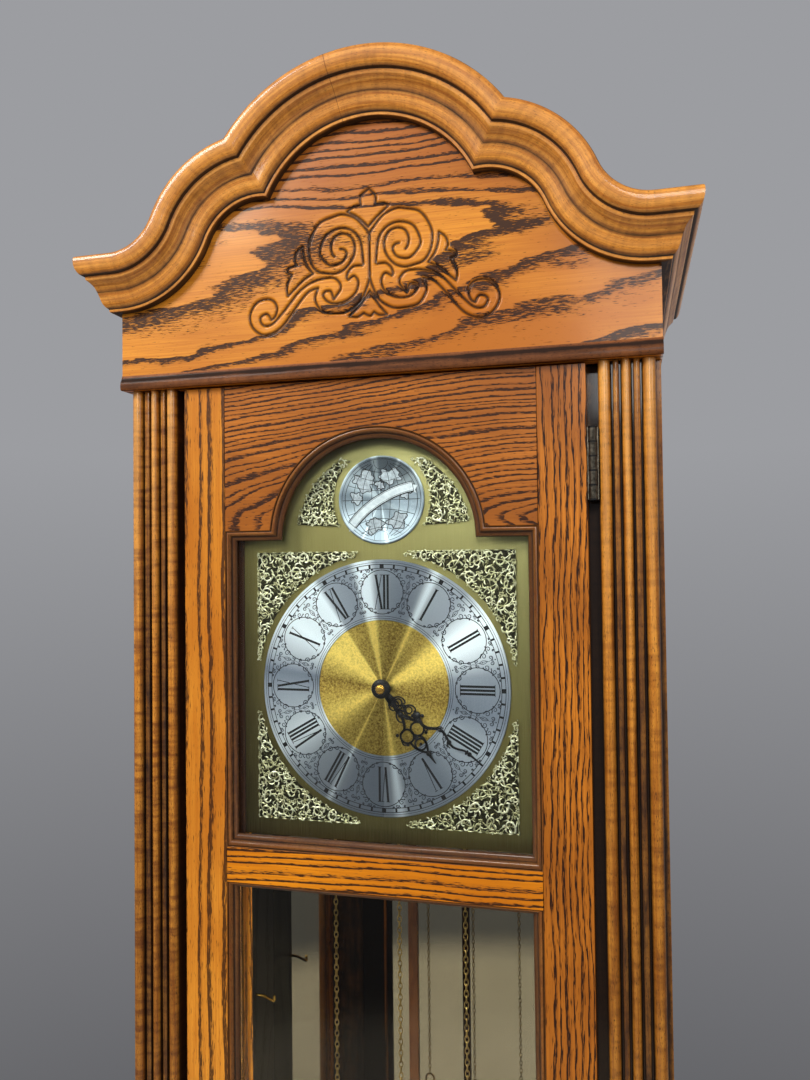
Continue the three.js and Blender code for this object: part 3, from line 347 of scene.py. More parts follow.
# Painted reflections of the lamps, and a painted shadow of the hands: brightness of the spun metal by degrees
# clockwise from twelve.
PAINTED_RAYS = [(-180, 0.42), (-160, 0.46), (-155, 0.52), (-153, 0.95), (-151, 0.5), (-138, 0.52), (-120, 0.8),
        (-102, 0.5), (-82, 0.38), (-68, 0.7), (-56, 0.95), (-44, 0.86), (-35, 0.9), (-32, 0.5), (-16, 0.46),
        (-12, 1.0), (-7, 0.95), (-3, 0.5), (14, 0.42), (22, 0.46), (26, 1.0), (29, 0.55), (42, 0.5),
        (55, 0.9), (66, 0.82), (82, 0.46), (104, 0.4), (122, 0.56), (146, 0.44), (168, 0.5), (172, 0.95),
        (176, 0.5)]


def painted_ray_pattern(f, x, z, centre_z):
    """Painted reflections: brightness of light that circular brushing would catch, by angle about a centre."""
    turn = f.math("ARCTAN2", x, f.minus(z, centre_z))
    share = f.plus(f.over(turn, TAU), 0.5)
    stops = [((degrees + 180.0) / 360.0, min(max(1.45 * (value - 0.28), 0.0), 1.0))
             for degrees, value in PAINTED_RAYS]
    return f.ramp(share, stops)


def spun_metal(name, dark, light, centre_z, grit, roughness=0.34):
    """Metal brushed in circles about a point on the dial, with reflections and shadow painted into its colour
    by angle.
    """
    f = Finish(name)
    x, y, z = f.place()
    up = f.minus(z, centre_z)
    radius = f.math("SQRT", f.plus(f.times(x, x), f.times(up, up)))
    rings = f.noise(f.vector(f.times(radius, 2.2), 0.0, 0.0), detail=3.0, roughness=0.7)
    speckle = f.noise(f.vector(x, y, z), scale=0.55, detail=2.0, roughness=0.8)
    # Painted reflections and shadow, by angle about the centre.
    painted_rays = painted_ray_pattern(f, x, z, centre_z)
    value = f.plus(painted_rays, f.times(f.minus(rings, 0.5), 0.25))
    value = f.plus(value, f.times(f.minus(speckle, 0.5), grit), clamp=True)
    colour = f.mix(value, dark, light)
    tangent = f.node("ShaderNodeVectorMath", {0: f.vector(up, 0.0, f.times(x, -1.0))},
                     operation="NORMALIZE").outputs[0]
    f.set(Base_Color=colour, Metallic=1.0, Tangent=tangent,
          Roughness=f.plus(f.times(rings, 0.12), roughness))
    f.shader.inputs["Anisotropic"].default_value = 0.6
    f.bump(f.plus(rings, f.times(speckle, grit)), 0.03, 0.2)
    return f.material


def cast_brass():
    """Antiqued casting: dark in the hollows, rubbed bright on the high strands."""
    f = Finish("antique_brass")
    x, y, z = f.place()
    mottle = f.noise(f.vector(x, y, z), scale=0.35, detail=3.0, roughness=0.7)
    depth = f.over(f.minus(PLATE_FACE, y), 2.6, clamp=True)
    value = f.plus(depth, f.times(f.minus(mottle, 0.5), 0.7), clamp=True)
    colour = f.ramp(value, [(0.16, srgb(30, 29, 15)), (0.44, srgb(86, 84, 52)), (0.68, srgb(168, 168, 126)),
                            (0.94, srgb(230, 232, 206))])
    f.set(Base_Color=colour, Metallic=0.85, Roughness=f.minus(0.5, f.times(value, 0.22)))
    f.bump(mottle, 0.15, 0.4)
    return f.material


def metal(name, light, dark, roughness, scale=0.06, stretch=(1.0, 1.0, 1.0), bump=0.02, metallic=1.0):
    """Plain metal with faint tarnish and fine scratches."""
    f = Finish(name)
    x, y, z = f.place()
    tarnish = f.noise(f.vector(x, y, z), scale=scale, detail=4.0, roughness=0.65)
    scratch = f.noise(f.vector(f.times(x, stretch[0]), f.times(y, stretch[1]), f.times(z, stretch[2])),
                      scale=1.0, detail=2.0)
    colour = f.mix(f.ramp(tarnish, [(0.35, 0.0), (0.72, 1.0)]), light, dark)
    f.set(Base_Color=colour, Metallic=metallic, Roughness=f.plus(f.times(scratch, 0.14), roughness))
    f.set(Specular_IOR_Level=0.5 if metallic > 0.5 else 0.18)
    f.bump(scratch, bump, 0.3)
    return f.material


def clear_glass():
    f = Finish("clear_glass")
    x, y, z = f.place()
    smear = f.noise(f.vector(x, y, z), scale=0.012, detail=3.0)
    f.set(Base_Color=(0.97, 0.99, 0.98, 1.0), Roughness=f.times(smear, 0.03), Transmission_Weight=1.0)
    f.shader.inputs["IOR"].default_value = 1.24
    shadow = f.node("ShaderNodeBsdfTransparent", {0: (0.96, 0.98, 0.97, 1.0)})
    is_shadow = f.node("ShaderNodeLightPath").outputs["Is Shadow Ray"]
    blended = f.node("ShaderNodeMixShader", {0: is_shadow, 1: f.shader.outputs[0], 2: shadow.outputs[0]})
    output = f.tree.nodes["Material Output"]
    f.plug(output.inputs["Surface"], blended.outputs[0])
    return f.material


def mirror_glass():
    f = Finish("mirror")
    x, y, z = f.place()
    haze = f.noise(f.vector(x, y, z), scale=0.01, detail=3.0)
    colour = f.mix(haze, srgb(170, 161, 139), srgb(154, 146, 125))
    f.set(Base_Color=colour, Metallic=1.0, Roughness=f.times(haze, 0.05))
    return f.material


def floor_finish():
    """Pale floor that fades out at its rim, so no horizon shows."""
    f = Finish("floor")
    x, y, z = f.place()
    tone = f.noise(f.vector(x, y, z), scale=0.004, detail=5.0)
    away = f.plus(y, -FLOOR_Y * 1000.0)
    radius = f.math("SQRT", f.plus(f.times(x, x), f.times(away, away)))
    cover = f.ramp(f.over(radius, FLOOR_RADIUS * 1000.0), [(0.82, 1.0), (1.0, 0.0)], "EASE")
    f.set(Base_Color=f.mix(tone, srgb(196, 188, 170), srgb(212, 205, 190)), Roughness=0.8, Alpha=cover)
    return f.material


FLOOR_Y = -0.35
FLOOR_RADIUS = 2.0
GOLD_PLATE = brushed_plate()
SILVER = spun_metal("silvered_ring", srgb(40, 54, 80), srgb(238, 250, 255), DIAL_Z, 0.05)
SILVER_DISC = spun_metal("silvered_disc", srgb(76, 88, 98), srgb(168, 182, 188), DISC_Z, 0.05, 0.46)
RIBBON_GREY = metal("ribbon_silver", srgb(178, 188, 192), srgb(150, 160, 166), 0.5, scale=0.2, metallic=0.6)
LAND_GREY = metal("engraved_land", srgb(150, 160, 166), srgb(106, 114, 120), 0.5, scale=0.4, metallic=0.8)
BRASS_CENTRE = spun_metal("spun_brass", srgb(112, 88, 34), srgb(255, 226, 118), DIAL_Z, 1.3, 0.3)
CAST = cast_brass()
BRASS = metal("bright_brass", srgb(222, 178, 84), srgb(178, 132, 52), 0.16)
AGED_BRASS = metal("aged_brass", srgb(190, 160, 92), srgb(110, 86, 40), 0.3)
BLACK = metal("black_steel", srgb(24, 24, 25), srgb(12, 12, 13), 0.36, scale=0.3, metallic=0.3)
PEWTER = metal("bronze", srgb(104, 98, 86), srgb(38, 34, 28), 0.24, scale=0.3)
STEEL = metal("steel", srgb(176, 180, 184), srgb(128, 132, 136), 0.24, stretch=(1.0, 1.0, 0.05))
INK = metal("printing_ink", srgb(6, 7, 9), srgb(16, 17, 20), 0.6, scale=0.5, metallic=0.0)
FINE_INK = metal("engraving_ink", srgb(44, 50, 60), srgb(28, 32, 38), 0.5, scale=0.5, metallic=0.0)
GLASS = clear_glass()
MIRROR = mirror_glass()
INNER_WOOD = wood("dark_wood", axes="zxy", pith=(40.0, 220.0), lean=0.02, ring=14.0, seed=5.0, bands=0.6,
                  light=srgb(64, 38, 22), middle=srgb(44, 26, 15), dark=srgb(22, 13, 8), rough=0.5)

# ------------------------------------------------------------------ mesh building


class Solid:
    """Gathers vertices and faces, in mm, and makes one object of them."""

    def __init__(self):
        self.points = []
        self.faces = []
        self.shades = []
        self.grains = []

    def add(self, points, faces, shades=0.0, grains=None):
        first = len(self.points)
        self.points.extend(tuple(map(float, p)) for p in points)
        self.faces.extend(tuple(first + i for i in face) for face in faces)
        count = len(points)
        self.shades.extend([shades] * count if isinstance(shades, (int, float)) else list(shades))
        self.grains.extend([(0.0, 0.0, 0.0)] * count if grains is None else grains)

    def loft(self, rings, shades=0.0, closed=False, ring_shades=None):
        """Skin over rings of points, each ring a closed loop. shades go round the loop."""
        count, size = len(rings), len(rings[0])
        array = np.array(rings, float)
        steps = np.linalg.norm(np.diff(array.mean(axis=1), axis=0), axis=1)
        lengths = np.concatenate([[0.0], np.cumsum(steps)])
        around = np.concatenate([[0.0], np.cumsum(np.linalg.norm(np.diff(array[0], axis=0), axis=1))])
        grains = [(lengths[i], around[j], 0.0) for i in range(count) for j in range(size)]
        loop = [shades] * size if isinstance(shades, (int, float)) else list(shades)
        extra = ring_shades or [0.0] * count
        all_shades = [max(loop[j], extra[i]) if extra[i] > 0 else loop[j] + extra[i]
                      for i in range(count) for j in range(size)]
        faces = []
        for i in range(count if closed else count - 1):
            a, b = i * size, ((i + 1) % count) * size
            faces.extend((a + j, a + (j + 1) % size, b + (j + 1) % size, b + j) for j in range(size))
        if not closed:
            faces.append(tuple(range(size)))
            faces.append(tuple(reversed(range((count - 1) * size, count * size))))
        self.add(array.reshape(-1, 3), faces, all_shades, grains)

    def slab(self, outline, y0, y1, shades=0.0, holes=()):
        """A board between two depths from an outline of (x, z)."""
        loops = [list(outline), *[list(hole) for hole in holes]]
        flat = [point for loop in loops for point in loop]
        triangles = tessellate_polygon([[Vector((x, z, 0.0)) for x, z in loop] for loop in loops])
        count = len(flat)
        faces = [tuple(t) for t in triangles]
        faces += [tuple(count + i for i in reversed(t)) for t in triangles]
        start = 0
        for loop in loops:
            size = len(loop)
            for i in range(size):
                j = (i + 1) % size
                faces.append((start + i, start + j, count + start + j, count + start + i))
            start += size
        self.add([(x, y0, z) for x, z in flat] + [(x, y1, z) for x, z in flat], faces, shades)

    def box(self, x0, x1, y0, y1, z0, z1, shades=0.0):
        self.slab([(x0, z0), (x1, z0), (x1, z1), (x0, z1)], y0, y1, shades)

    def turn(self, profile, centre, axis="z", sides=48, shades=0.0):
        """A closed body turned about an axis: profile of (radius, distance along the axis)."""
        rings = []
        for k in range(sides):
            angle = TAU * k / sides
            c, s = math.cos(angle), math.sin(angle)
            if axis == "z":
                rings.append([(centre[0] + r * c, centre[1] + r * s, centre[2] + h) for r, h in profile])
            else:
                rings.append([(centre[0] + r * c, centre[1] + h, centre[2] + r * s) for r, h in profile])
        count = len(profile)
        faces = []
        for k in range(sides):
            a, b = k * count, ((k + 1) % sides) * count
            faces.extend((a + j, a + j + 1, b + j + 1, b + j) for j in range(count - 1))
        self.add([p for ring in rings for p in ring], faces, shades)

    def tube(self, path, radii, sides=6, flat=1.0, closed=False):
        """A round strand along a path; flat is its depth over its width."""
        path = np.array(path, float)
        count = len(path)
        radii = np.broadcast_to(np.array(radii, float), (count,))
        if closed:
            tangents = np.roll(path, -1, axis=0) - np.roll(path, 1, axis=0)
        else:
            tangents = np.gradient(path, axis=0)
        tangents /= np.linalg.norm(tangents, axis=1)[:, None] + 1e-12
        front = np.array((0.0, -1.0, 0.0))
        rings = []
        for point, tangent, radius in zip(path, tangents, radii):
            side = np.cross(tangent, front)
            if np.linalg.norm(side) < 0.2:
                side = np.cross(tangent, (1.0, 0.0, 0.0))
            side /= np.linalg.norm(side)
            out = np.cross(side, tangent)
            rings.append([point + radius * (math.cos(TAU * k / sides) * side
                                            + flat * math.sin(TAU * k / sides) * out) for k in range(sides)])
        self.loft(rings, closed=closed)

    def stroke(self, path, widths, y0, y1, closed=False):
        """A flat strip of given width along a path of (x, z), between two depths."""
        path = np.array(path, float)
        count = len(path)
        widths = np.broadcast_to(np.array(widths, float), (count,))
        if closed:
            tangents = np.roll(path, -1, axis=0) - np.roll(path, 1, axis=0)
        else:
            tangents = np.gradient(path, axis=0)
        tangents /= np.linalg.norm(tangents, axis=1)[:, None] + 1e-12
        normals = np.stack([-tangents[:, 1], tangents[:, 0]], axis=1) * widths[:, None] / 2.0
        left, right = path + normals, path - normals
        rings = [[(a[0], y0, a[1]), (b[0], y0, b[1]), (b[0], y1, b[1]), (a[0], y1, a[1])]
                 for a, b in zip(left, right)]
        self.loft(rings, closed=closed)

    def make(self, name, body, material, slot=None, replaces=(), bevel=0.0, sharp=35.0, merge=True):
        mesh = bpy.data.meshes.new(name)
        mesh.from_pydata((np.array(self.points) * MM).tolist(), [], self.faces)
        shade = mesh.attributes.new("shade", "FLOAT", "POINT")
        shade.data.foreach_set("value", np.array(self.shades, np.float32))
        grain = mesh.attributes.new("grain", "FLOAT_VECTOR", "POINT")
        grain.data.foreach_set("vector", np.array(self.grains, np.float32).ravel())
        work = bmesh.new()
        work.from_mesh(mesh)
        if merge:
            bmesh.ops.remove_doubles(work, verts=work.verts, dist=1e-6)
        bmesh.ops.dissolve_degenerate(work, edges=work.edges, dist=1e-7)
        bmesh.ops.recalc_face_normals(work, faces=work.faces)
        work.to_mesh(mesh)
        work.free()
        mesh.polygons.foreach_set("use_smooth", [True] * len(mesh.polygons))
        mesh.set_sharp_from_angle(angle=math.radians(sharp))
        made = bpy.data.objects.new(name, mesh)
        bpy.context.scene.collection.objects.link(made)
        made.data.materials.append(material)
        if bevel:
            edge = made.modifiers.new("edge", "BEVEL")
            edge.width = bevel * MM
            edge.segments = 2
            edge.limit_method = "ANGLE"
            edge.angle_limit = math.radians(40.0)
            edge.harden_normals = True
        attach(made, body)
        if replaces:
            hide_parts(*replaces)
        return made


def smooth_path(points, steps=8, closed=False):
    """A Catmull-Rom curve through points."""
    points = np.array(points, float)
    count = len(points)
    result = []
    for i in range(count if closed else count - 1):
        if closed:
            a, b, c, d = (points[(i + k) % count] for k in (-1, 0, 1, 2))
        else:
            a, b = points[max(i - 1, 0)], points[i]
            c, d = points[i + 1], points[min(i + 2, count - 1)]
        for step in range(steps):
            t = step / steps
            result.append(0.5 * (2 * b + (c - a) * t + (2 * a - 5 * b + 4 * c - d) * t * t
                                 + (3 * b - a - 3 * c + d) * t ** 3))
    if not closed:
        result.append(points[-1])
    return np.array(result)


def shades_of(section):
    """The shade at each point of a section, which is the last of its three values."""
    return [shade for _, _, shade in section]


def arc(cx, cz, radius, start, end, steps):
    """Points on an arc, by degrees anticlockwise from +X."""
    return [(cx + radius * math.cos(math.radians(a)), cz + radius * math.sin(math.radians(a)))
            for a in np.linspace(start, end, steps)]


# ------------------------------------------------------------------ crown

ARCH = (0.0, 414.2, 107.3)
LOBE = (106.0, 403.0, 57.5)
HOLLOW = (250.0, 463.0, 98.5)
CROWN_HEIGHT = 50.0
PEAK_EASE = 2.5
SEAM_DEGREES = -11.5
ARCH_COLUMNS = 81
SEAM_COLUMN = 33
LOBE_COLUMNS = 22
HOLLOW_COLUMNS = 18


def crown_outline(offset, end_x):
    """The crown's line at a distance above its lower edge, from left to right, as (x, z)."""
    arch = ARCH[2] + offset + PEAK_EASE * offset / CROWN_HEIGHT
    lobe = LOBE[2] + offset
    hollow = HOLLOW[2] - offset
    apart = math.hypot(LOBE[0], LOBE[1] - ARCH[1])
    along = (arch ** 2 - lobe ** 2 + apart ** 2) / (2.0 * apart)
    aside = math.sqrt(arch ** 2 - along ** 2)
    ux, uz = LOBE[0] / apart, (LOBE[1] - ARCH[1]) / apart
    cusp = (ux * along - uz * aside, ARCH[1] + uz * along + ux * aside)
    tangent = math.degrees(math.atan2(HOLLOW[1] - LOBE[1], HOLLOW[0] - LOBE[0]))
    cusp_lobe = math.degrees(math.atan2(cusp[1] - LOBE[1], cusp[0] - LOBE[0]))
    cusp_turn = math.degrees(math.atan2(cusp[0], cusp[1] - ARCH[1]))
    turns = np.linspace(-cusp_turn, cusp_turn, ARCH_COLUMNS)
    turns[SEAM_COLUMN - 1:SEAM_COLUMN + 2] = (SEAM_DEGREES - 0.16, SEAM_DEGREES, SEAM_DEGREES + 0.16)
    middle = [(arch * math.sin(math.radians(t)), ARCH[1] + arch * math.cos(math.radians(t))) for t in turns]
    right = arc(LOBE[0], LOBE[1], lobe, cusp_lobe, tangent, LOBE_COLUMNS)[1:]
    right += arc(HOLLOW[0], HOLLOW[1], hollow, tangent + 180.0, 270.0, HOLLOW_COLUMNS)[1:]
    right.append((end_x, HOLLOW[1] - hollow))
    left = [(-x, z) for x, z in reversed(right)]
    return [(x, z + DIAL_Z) for x, z in [*left, *middle, *right]]


# The moulding's section: distance above its lower edge, projection from the frieze, shade.
CROWN_PROFILE = [(0.0, 0.0, 1.2), (0.0, 7.6, 0.8), (0.5, 8.5, 0.1), (2.2, 8.7, -0.3), (2.8, 9.0, 1.2),
                 (3.6, 9.9, 0.8), (5.0, 11.5, 0.3), (7.5, 13.2, 0.0), (10.5, 14.4, -0.2),
                 (13.5, 15.2, -0.1), (16.2, 16.1, 0.2), (17.4, 16.4, 0.6), (17.9, 16.7, 0.85),
                 (20.0, 17.5, 0.4), (22.5, 18.6, 0.25), (25.0, 20.4, 0.2), (27.0, 22.4, 0.15),
                 (28.1, 23.7, 0.0), (28.5, 24.2, -0.5), (29.0, 24.5, -0.3), (31.2, 24.7, 0.15),
                 (31.9, 25.0, 1.2), (32.3, 27.2, 1.1), (33.0, 28.4, 0.4), (35.0, 30.1, 0.0),
                 (38.0, 31.6, -0.2), (41.5, 32.5, -0.2), (45.0, 32.8, -0.1), (48.0, 32.6, 0.0),
                 (49.3, 31.8, 0.3), (50.0, 30.4, 0.9), (50.0, 0.0, 0.9)]


def crown():
    lines = [[(x, FRIEZE_FRONT - p, z) for x, z in crown_outline(t, FRIEZE_HALF + p)]
             for t, p, _ in CROWN_PROFILE]
    columns = len(lines[0])
    rings = [[line[i] for line in lines] for i in range(columns)]
    shades = shades_of(CROWN_PROFILE)
    ring_shades = [0.0] * columns
    ring_shades[LOBE_COLUMNS + HOLLOW_COLUMNS - 1 + SEAM_COLUMN] = 0.9
    solid = Solid()
    solid.loft(rings, shades, ring_shades=ring_shades)
    solid.make("crown_front", "case", moulding_wood("crown_wood", 2.0, gloss=0.42, rough=0.34), "plain_wood",
               ["crown_moulding_front"], sharp=50.0)
    for side, name in SIDES:
        front = [(side * (FRIEZE_HALF + p), FRIEZE_FRONT - p, CROWN_SPRING + t) for t, p, _ in CROWN_PROFILE]
        back = [(x, CASE_BACK, z) for x, _, z in front]
        middle = [[(x, y, z) for x, _, z in front] for y in np.linspace(-90.0, 130.0, 6)]
        solid = Solid()
        solid.loft([front, *middle, back], shades)
        solid.make(f"crown_return_{name}", "case", moulding_wood(f"return_wood_{name}", 4.0 + side,
                                                                 gloss=0.05, rough=0.45), "plain_wood",
                   sharp=50.0)
        board = Solid()
        inner, outer = sorted((side * (CASE_OUTER + 0.3), side * FRIEZE_HALF))
        board.box(inner, outer, FRIEZE_BACK + 0.3, CASE_BACK, FRIEZE_BOTTOM,
                  CROWN_SPRING + CROWN_HEIGHT - 0.5)
        board.make(f"frieze_side_{name}", "case", wood(f"frieze_side_oak_{name}", axes="yzx",
                                                       pith=(1700.0, side * 200.0), seed=8.0 + side,
                                                       ring=7.0, rough=0.55, coat=0.0), "oak",
                   [f"crown_return_{name}"], bevel=0.6)


crown()

# ------------------------------------------------------------------ carved frieze

CARVING_Z = DIAL_Z + 345.0
# Strokes of the carving in mm, across from the middle and up from CARVING_Z. These points were traced over the
# photograph and projected by another script, so redraw them by hand before this script is reused.
CARVED_HALF_STROKES = [[(0, 65), (0, 72), (4, 78), (13, 88), (25, 93), (34, 92), (47, 88), (55, 78),
                        (59, 66), (57, 52), (51, 43), (42, 40), (32, 39), (23, 43), (16, 52), (14, 61),
                        (16, 69), (21, 74), (28, 75), (34, 72), (37, 65), (36, 58), (34, 55)],
                       [(6, 45), (7, 57), (9, 68), (15, 76), (23, 80), (32, 80), (41, 76), (46, 68),
                        (48, 59), (44, 52), (38, 47), (31, 47), (25, 50), (22, 56), (24, 60), (28, 61)],
                       [(0, 64), (0, 42), (0, 33), (3, 23), (9, 11), (21, 3), (33, 2), (45, 4), (51, 11),
                        (53, 18), (50, 27)],
                       [(7, 44), (15, 44), (20, 40), (22, 35), (21, 32), (19, 33), (15, 35), (12, 32),
                        (11, 27), (14, 19), (22, 13), (32, 11), (40, 13), (45, 19), (43, 23), (38, 23),
                        (36, 19), (35, 15)],
                       [(35, 15), (30, 21), (28, 25), (29, 30), (35, 35), (47, 35), (58, 32), (69, 25),
                        (78, 15), (87, 5), (96, -3), (104, -4), (108, 1), (107, 5), (102, 7), (99, 5),
                        (97, 1)],
                       [(50, 27), (58, 25), (65, 19), (75, 7), (85, -5), (94, -11), (104, -13), (113, -8),
                        (118, 0), (118, 9), (112, 18), (103, 21), (95, 19), (91, 12), (93, 4), (97, 1)]]
CARVED_LEAF = [
    [(55, 41), (61, 49), (64, 58), (65, 67)], [(65, 67), (71, 62), (73, 55), (71, 50)],
    [(71, 50), (79, 48), (80, 44), (76, 42)], [(76, 42), (80, 34), (81, 28), (80, 22)],
    [(80, 22), (72, 29), (64, 36), (55, 41)]]
CARVED_MIDDLE = [
    [(0, 114), (-8, 108), (-8, 100)], [(-8, 100), (-14, 99), (-21, 95)], [(-21, 95), (-10, 88), (-1, 79)],
    [(-1, 79), (7, 87), (18, 96)], [(18, 96), (14, 99), (6, 99)], [(6, 99), (6, 107), (0, 114)],
    [(0, 20), (-9, 8), (-20, -2)], [(-20, -2), (-12, -3), (-6, 0)], [(-6, 0), (0, -3), (4, 0)],
    [(4, 0), (9, -3), (16, -3)], [(16, -3), (8, 7), (0, 20)]]


def carved_lines():
    """Every groove as a run of points in X and Z."""
    halves = CARVED_HALF_STROKES + CARVED_LEAF
    strokes = halves + [[(-x, z) for x, z in stroke] for stroke in halves] + CARVED_MIDDLE
    return [smooth_path(stroke, 5) + (0.0, CARVING_Z) for stroke in strokes]


def groove_distance(points, lines):
    """Distance of each point to the nearest groove."""
    best = np.full(len(points), 1e9)
    for line in lines:
        a, b = line[:-1], line[1:]
        near = (points[:, 0] > line[:, 0].min() - 4) & (points[:, 0] < line[:, 0].max() + 4)
        near &= (points[:, 1] > line[:, 1].min() - 4) & (points[:, 1] < line[:, 1].max() + 4)
        if not near.any():
            continue
        p = points[near]
        d = b - a
        t = ((p[:, None] - a) * d).sum(2) / np.maximum((d * d).sum(1), 1e-9)
        foot = a + np.clip(t, 0.0, 1.0)[..., None] * d
        gap = np.linalg.norm(p[:, None] - foot, axis=2).min(1)
        best[near] = np.minimum(best[near], gap)
    return best


def frieze():
    top = crown_outline(48.0, FRIEZE_HALF)
    outline = [(-FRIEZE_HALF, FRIEZE_BOTTOM), *top, (FRIEZE_HALF, FRIEZE_BOTTOM)]
    step = 0.8
    xs = np.arange(-126.4, 126.5, step)
    zs = np.arange(CARVING_Z - 18.0, CARVING_Z + 118.5, step)
    grid_x, grid_z = np.meshgrid(xs, zs)
    flat = np.stack([grid_x.ravel(), grid_z.ravel()], axis=1)
    share = np.clip(1.0 - groove_distance(flat, carved_lines()) / 2.1, 0.0, 1.0)
    depth = 2.1 * share
    border = ((grid_x == xs[0]) | (grid_x == xs[-1]) | (grid_z == zs[0]) | (grid_z == zs[-1])).ravel()
    depth[border] = 0.0
    columns, rows = len(xs), len(zs)
    solid = Solid()
    points = np.stack([flat[:, 0], FRIEZE_FRONT + depth, flat[:, 1]], axis=1)
    faces = [(r * columns + c, r * columns + c + 1, (r + 1) * columns + c + 1, (r + 1) * columns + c)
             for r in range(rows - 1) for c in range(columns - 1)]
    # Painted shade in the carved grooves, darker nearer a groove's line.
    solid.add(points, faces, (np.clip(share * 1.9 - 0.35, 0.0, 1.0) * 0.95).tolist())
    hole = [(x, zs[0]) for x in xs] + [(xs[-1], z) for z in zs[1:]]
    hole += [(x, zs[-1]) for x in xs[-2::-1]] + [(xs[0], z) for z in zs[-2:0:-1]]
    loops = [outline, hole]
    front = [p for loop in loops for p in loop]
    triangles = tessellate_polygon([[Vector((x, z, 0.0)) for x, z in loop] for loop in loops])
    solid.add([(x, FRIEZE_FRONT, z) for x, z in front], [tuple(t) for t in triangles])
    back = tessellate_polygon([[Vector((x, z, 0.0)) for x, z in outline]])
    size = len(outline)
    sides = [(i, (i + 1) % size, size + (i + 1) % size, size + i) for i in range(size)]
    solid.add([(x, FRIEZE_FRONT, z) for x, z in outline] + [(x, FRIEZE_BACK, z) for x, z in outline],
              sides + [tuple(size + i for i in t) for t in back])
    solid.make("carved_frieze", "case", wood("frieze_oak", axes="xzy", pith=(1798.0, -61.0), lean=-0.07,
                                             ring=9.6, seed=1.3, bands=0.95, wobble=8.0, tick=0.14,
                                             fray=2.5, skew=0.42, uneven=0.45,
                                             darker_above=(1796.0, 1856.0, 0.55)), "oak", ["frieze_board"],
               sharp=60.0)
    bead = Solid()
    section = [(1.0, 0.0, 0.8), (2.0, 0.0, 0.2), (2.9, 0.8, 0.5), (3.3, 3.0, 0.55), (3.2, 6.0, 0.6),
               (2.6, 8.4, 0.9), (1.6, 9.8, 1.2), (1.3, 10.4, 1.3), (1.0, 11.6, 0.8), (0.4, 13.2, 0.2),
               (-0.05, 14.5, 0.1), (-1.0, 14.5, 0.2), (-1.0, 0.0, 0.8)]
    rings = [[(x, FRIEZE_FRONT - p, FRIEZE_BOTTOM + h) for p, h, _ in section]
             for x in np.linspace(-FRIEZE_HALF - 0.4, FRIEZE_HALF + 0.4, 9)]
    bead.loft(rings, shades_of(section))
    bead.make("frieze_bead", "case", moulding_wood("bead_wood", 9.0, tone=1.6, light=srgb(168, 98, 44),
                                                   middle=srgb(118, 66, 28), gloss=0.06, rough=0.45),
              "plain_wood", sharp=50.0)


frieze()

# ------------------------------------------------------------------ reeded columns

BEADS = [(201.0, 211.5), (220.5, 228.5), (238.0, 249.0)]
COLUMN_FRONT = -127.0


def column_section():
    """(x, y, shade) round the right-hand column."""
    section = [(182.0, -98.0, 0.9), (182.0, -103.5, 1.1), (201.0, -103.5, 1.4), (201.0, -117.0, 1.4)]
    for index, (start, end) in enumerate(BEADS):
        middle, half = (start + end) / 2.0, (end - start) / 2.0
        for angle in np.linspace(180.0, 0.0, 13):
            rise = math.sin(math.radians(angle))
            x = middle + half * math.cos(math.radians(angle))
            section.append((x, COLUMN_FRONT + 6.4 - 6.4 * rise,
                            1.3 * (1.0 - rise) ** 1.3 - 0.1 * (rise > 0.93)))
        if index < 2:
            after = BEADS[index + 1][0]
            section += [(end + 0.7, -119.0, 1.4), (end + 1.9, -119.0, 1.4), (end + 2.2, -122.9, 1.0),
                        (end + 2.8, -123.6, 0.75), (after - 2.8, -123.6, 0.75), (after - 2.2, -122.9, 1.0),
                        (after - 1.9, -119.0, 1.4), (after - 0.7, -119.0, 1.4)]
    section += [(249.0, -112.0, 1.2), (250.0, -111.0, 1.0), (253.0, -111.0, 0.5), (253.7, -110.3, 0.3),
                (253.7, -98.0, 0.5)]
    return section


def columns():
    section = column_section()
    heights = np.linspace(CAP_TOP + 0.3, FRIEZE_BOTTOM - 0.3, 13)
    for side, name in SIDES:
        solid = Solid()
        # Painted light: the columns are lighter at the top and darker low down, where the light falls off.
        light_falloff = np.interp(heights, [1150.0, 1400.0, 1670.0], [0.34, 0.02, -0.5]).tolist()
        solid.loft([[(side * x, y, z) for x, y, _ in section] for z in heights], shades_of(section),
                   ring_shades=light_falloff)
        finish = moulding_wood(f"column_wood_{name}", 14.0 + 3.0 * side, axes="zxy", tone=1.3,
                               light=srgb(214, 142, 50), middle=srgb(160, 92, 20), gloss=0.36, rough=0.27,
                               curl=0.48 - 0.14 * side)
        solid.make(f"reeded_column_{name}", "case", finish, "plain_wood", [f"column_{name}"], sharp=50.0)


columns()

# ------------------------------------------------------------------ door

# Moulded inner edge: distance outwards from the sight edge, depth behind the door's face, shade.
STICKING = [
    (10.0, 0.05, 0.2), (9.5, 0.3, 0.3), (9.2, 1.5, 1.0), (8.9, 1.2, 0.8), (8.2, 0.5, 0.2), (7.2, 0.35, 0.1),
    (6.2, 0.8, 0.2), (5.2, 1.9, 0.4), (4.6, 3.0, 0.6), (4.3, 4.2, 1.0), (3.6, 4.3, 0.6), (2.6, 4.5, 0.5),
    (1.6, 5.0, 0.55), (0.6, 6.0, 0.6), (0.0, 7.2, 0.8), (0.0, 8.1, 1.0), (10.0, 8.1, 1.0)]


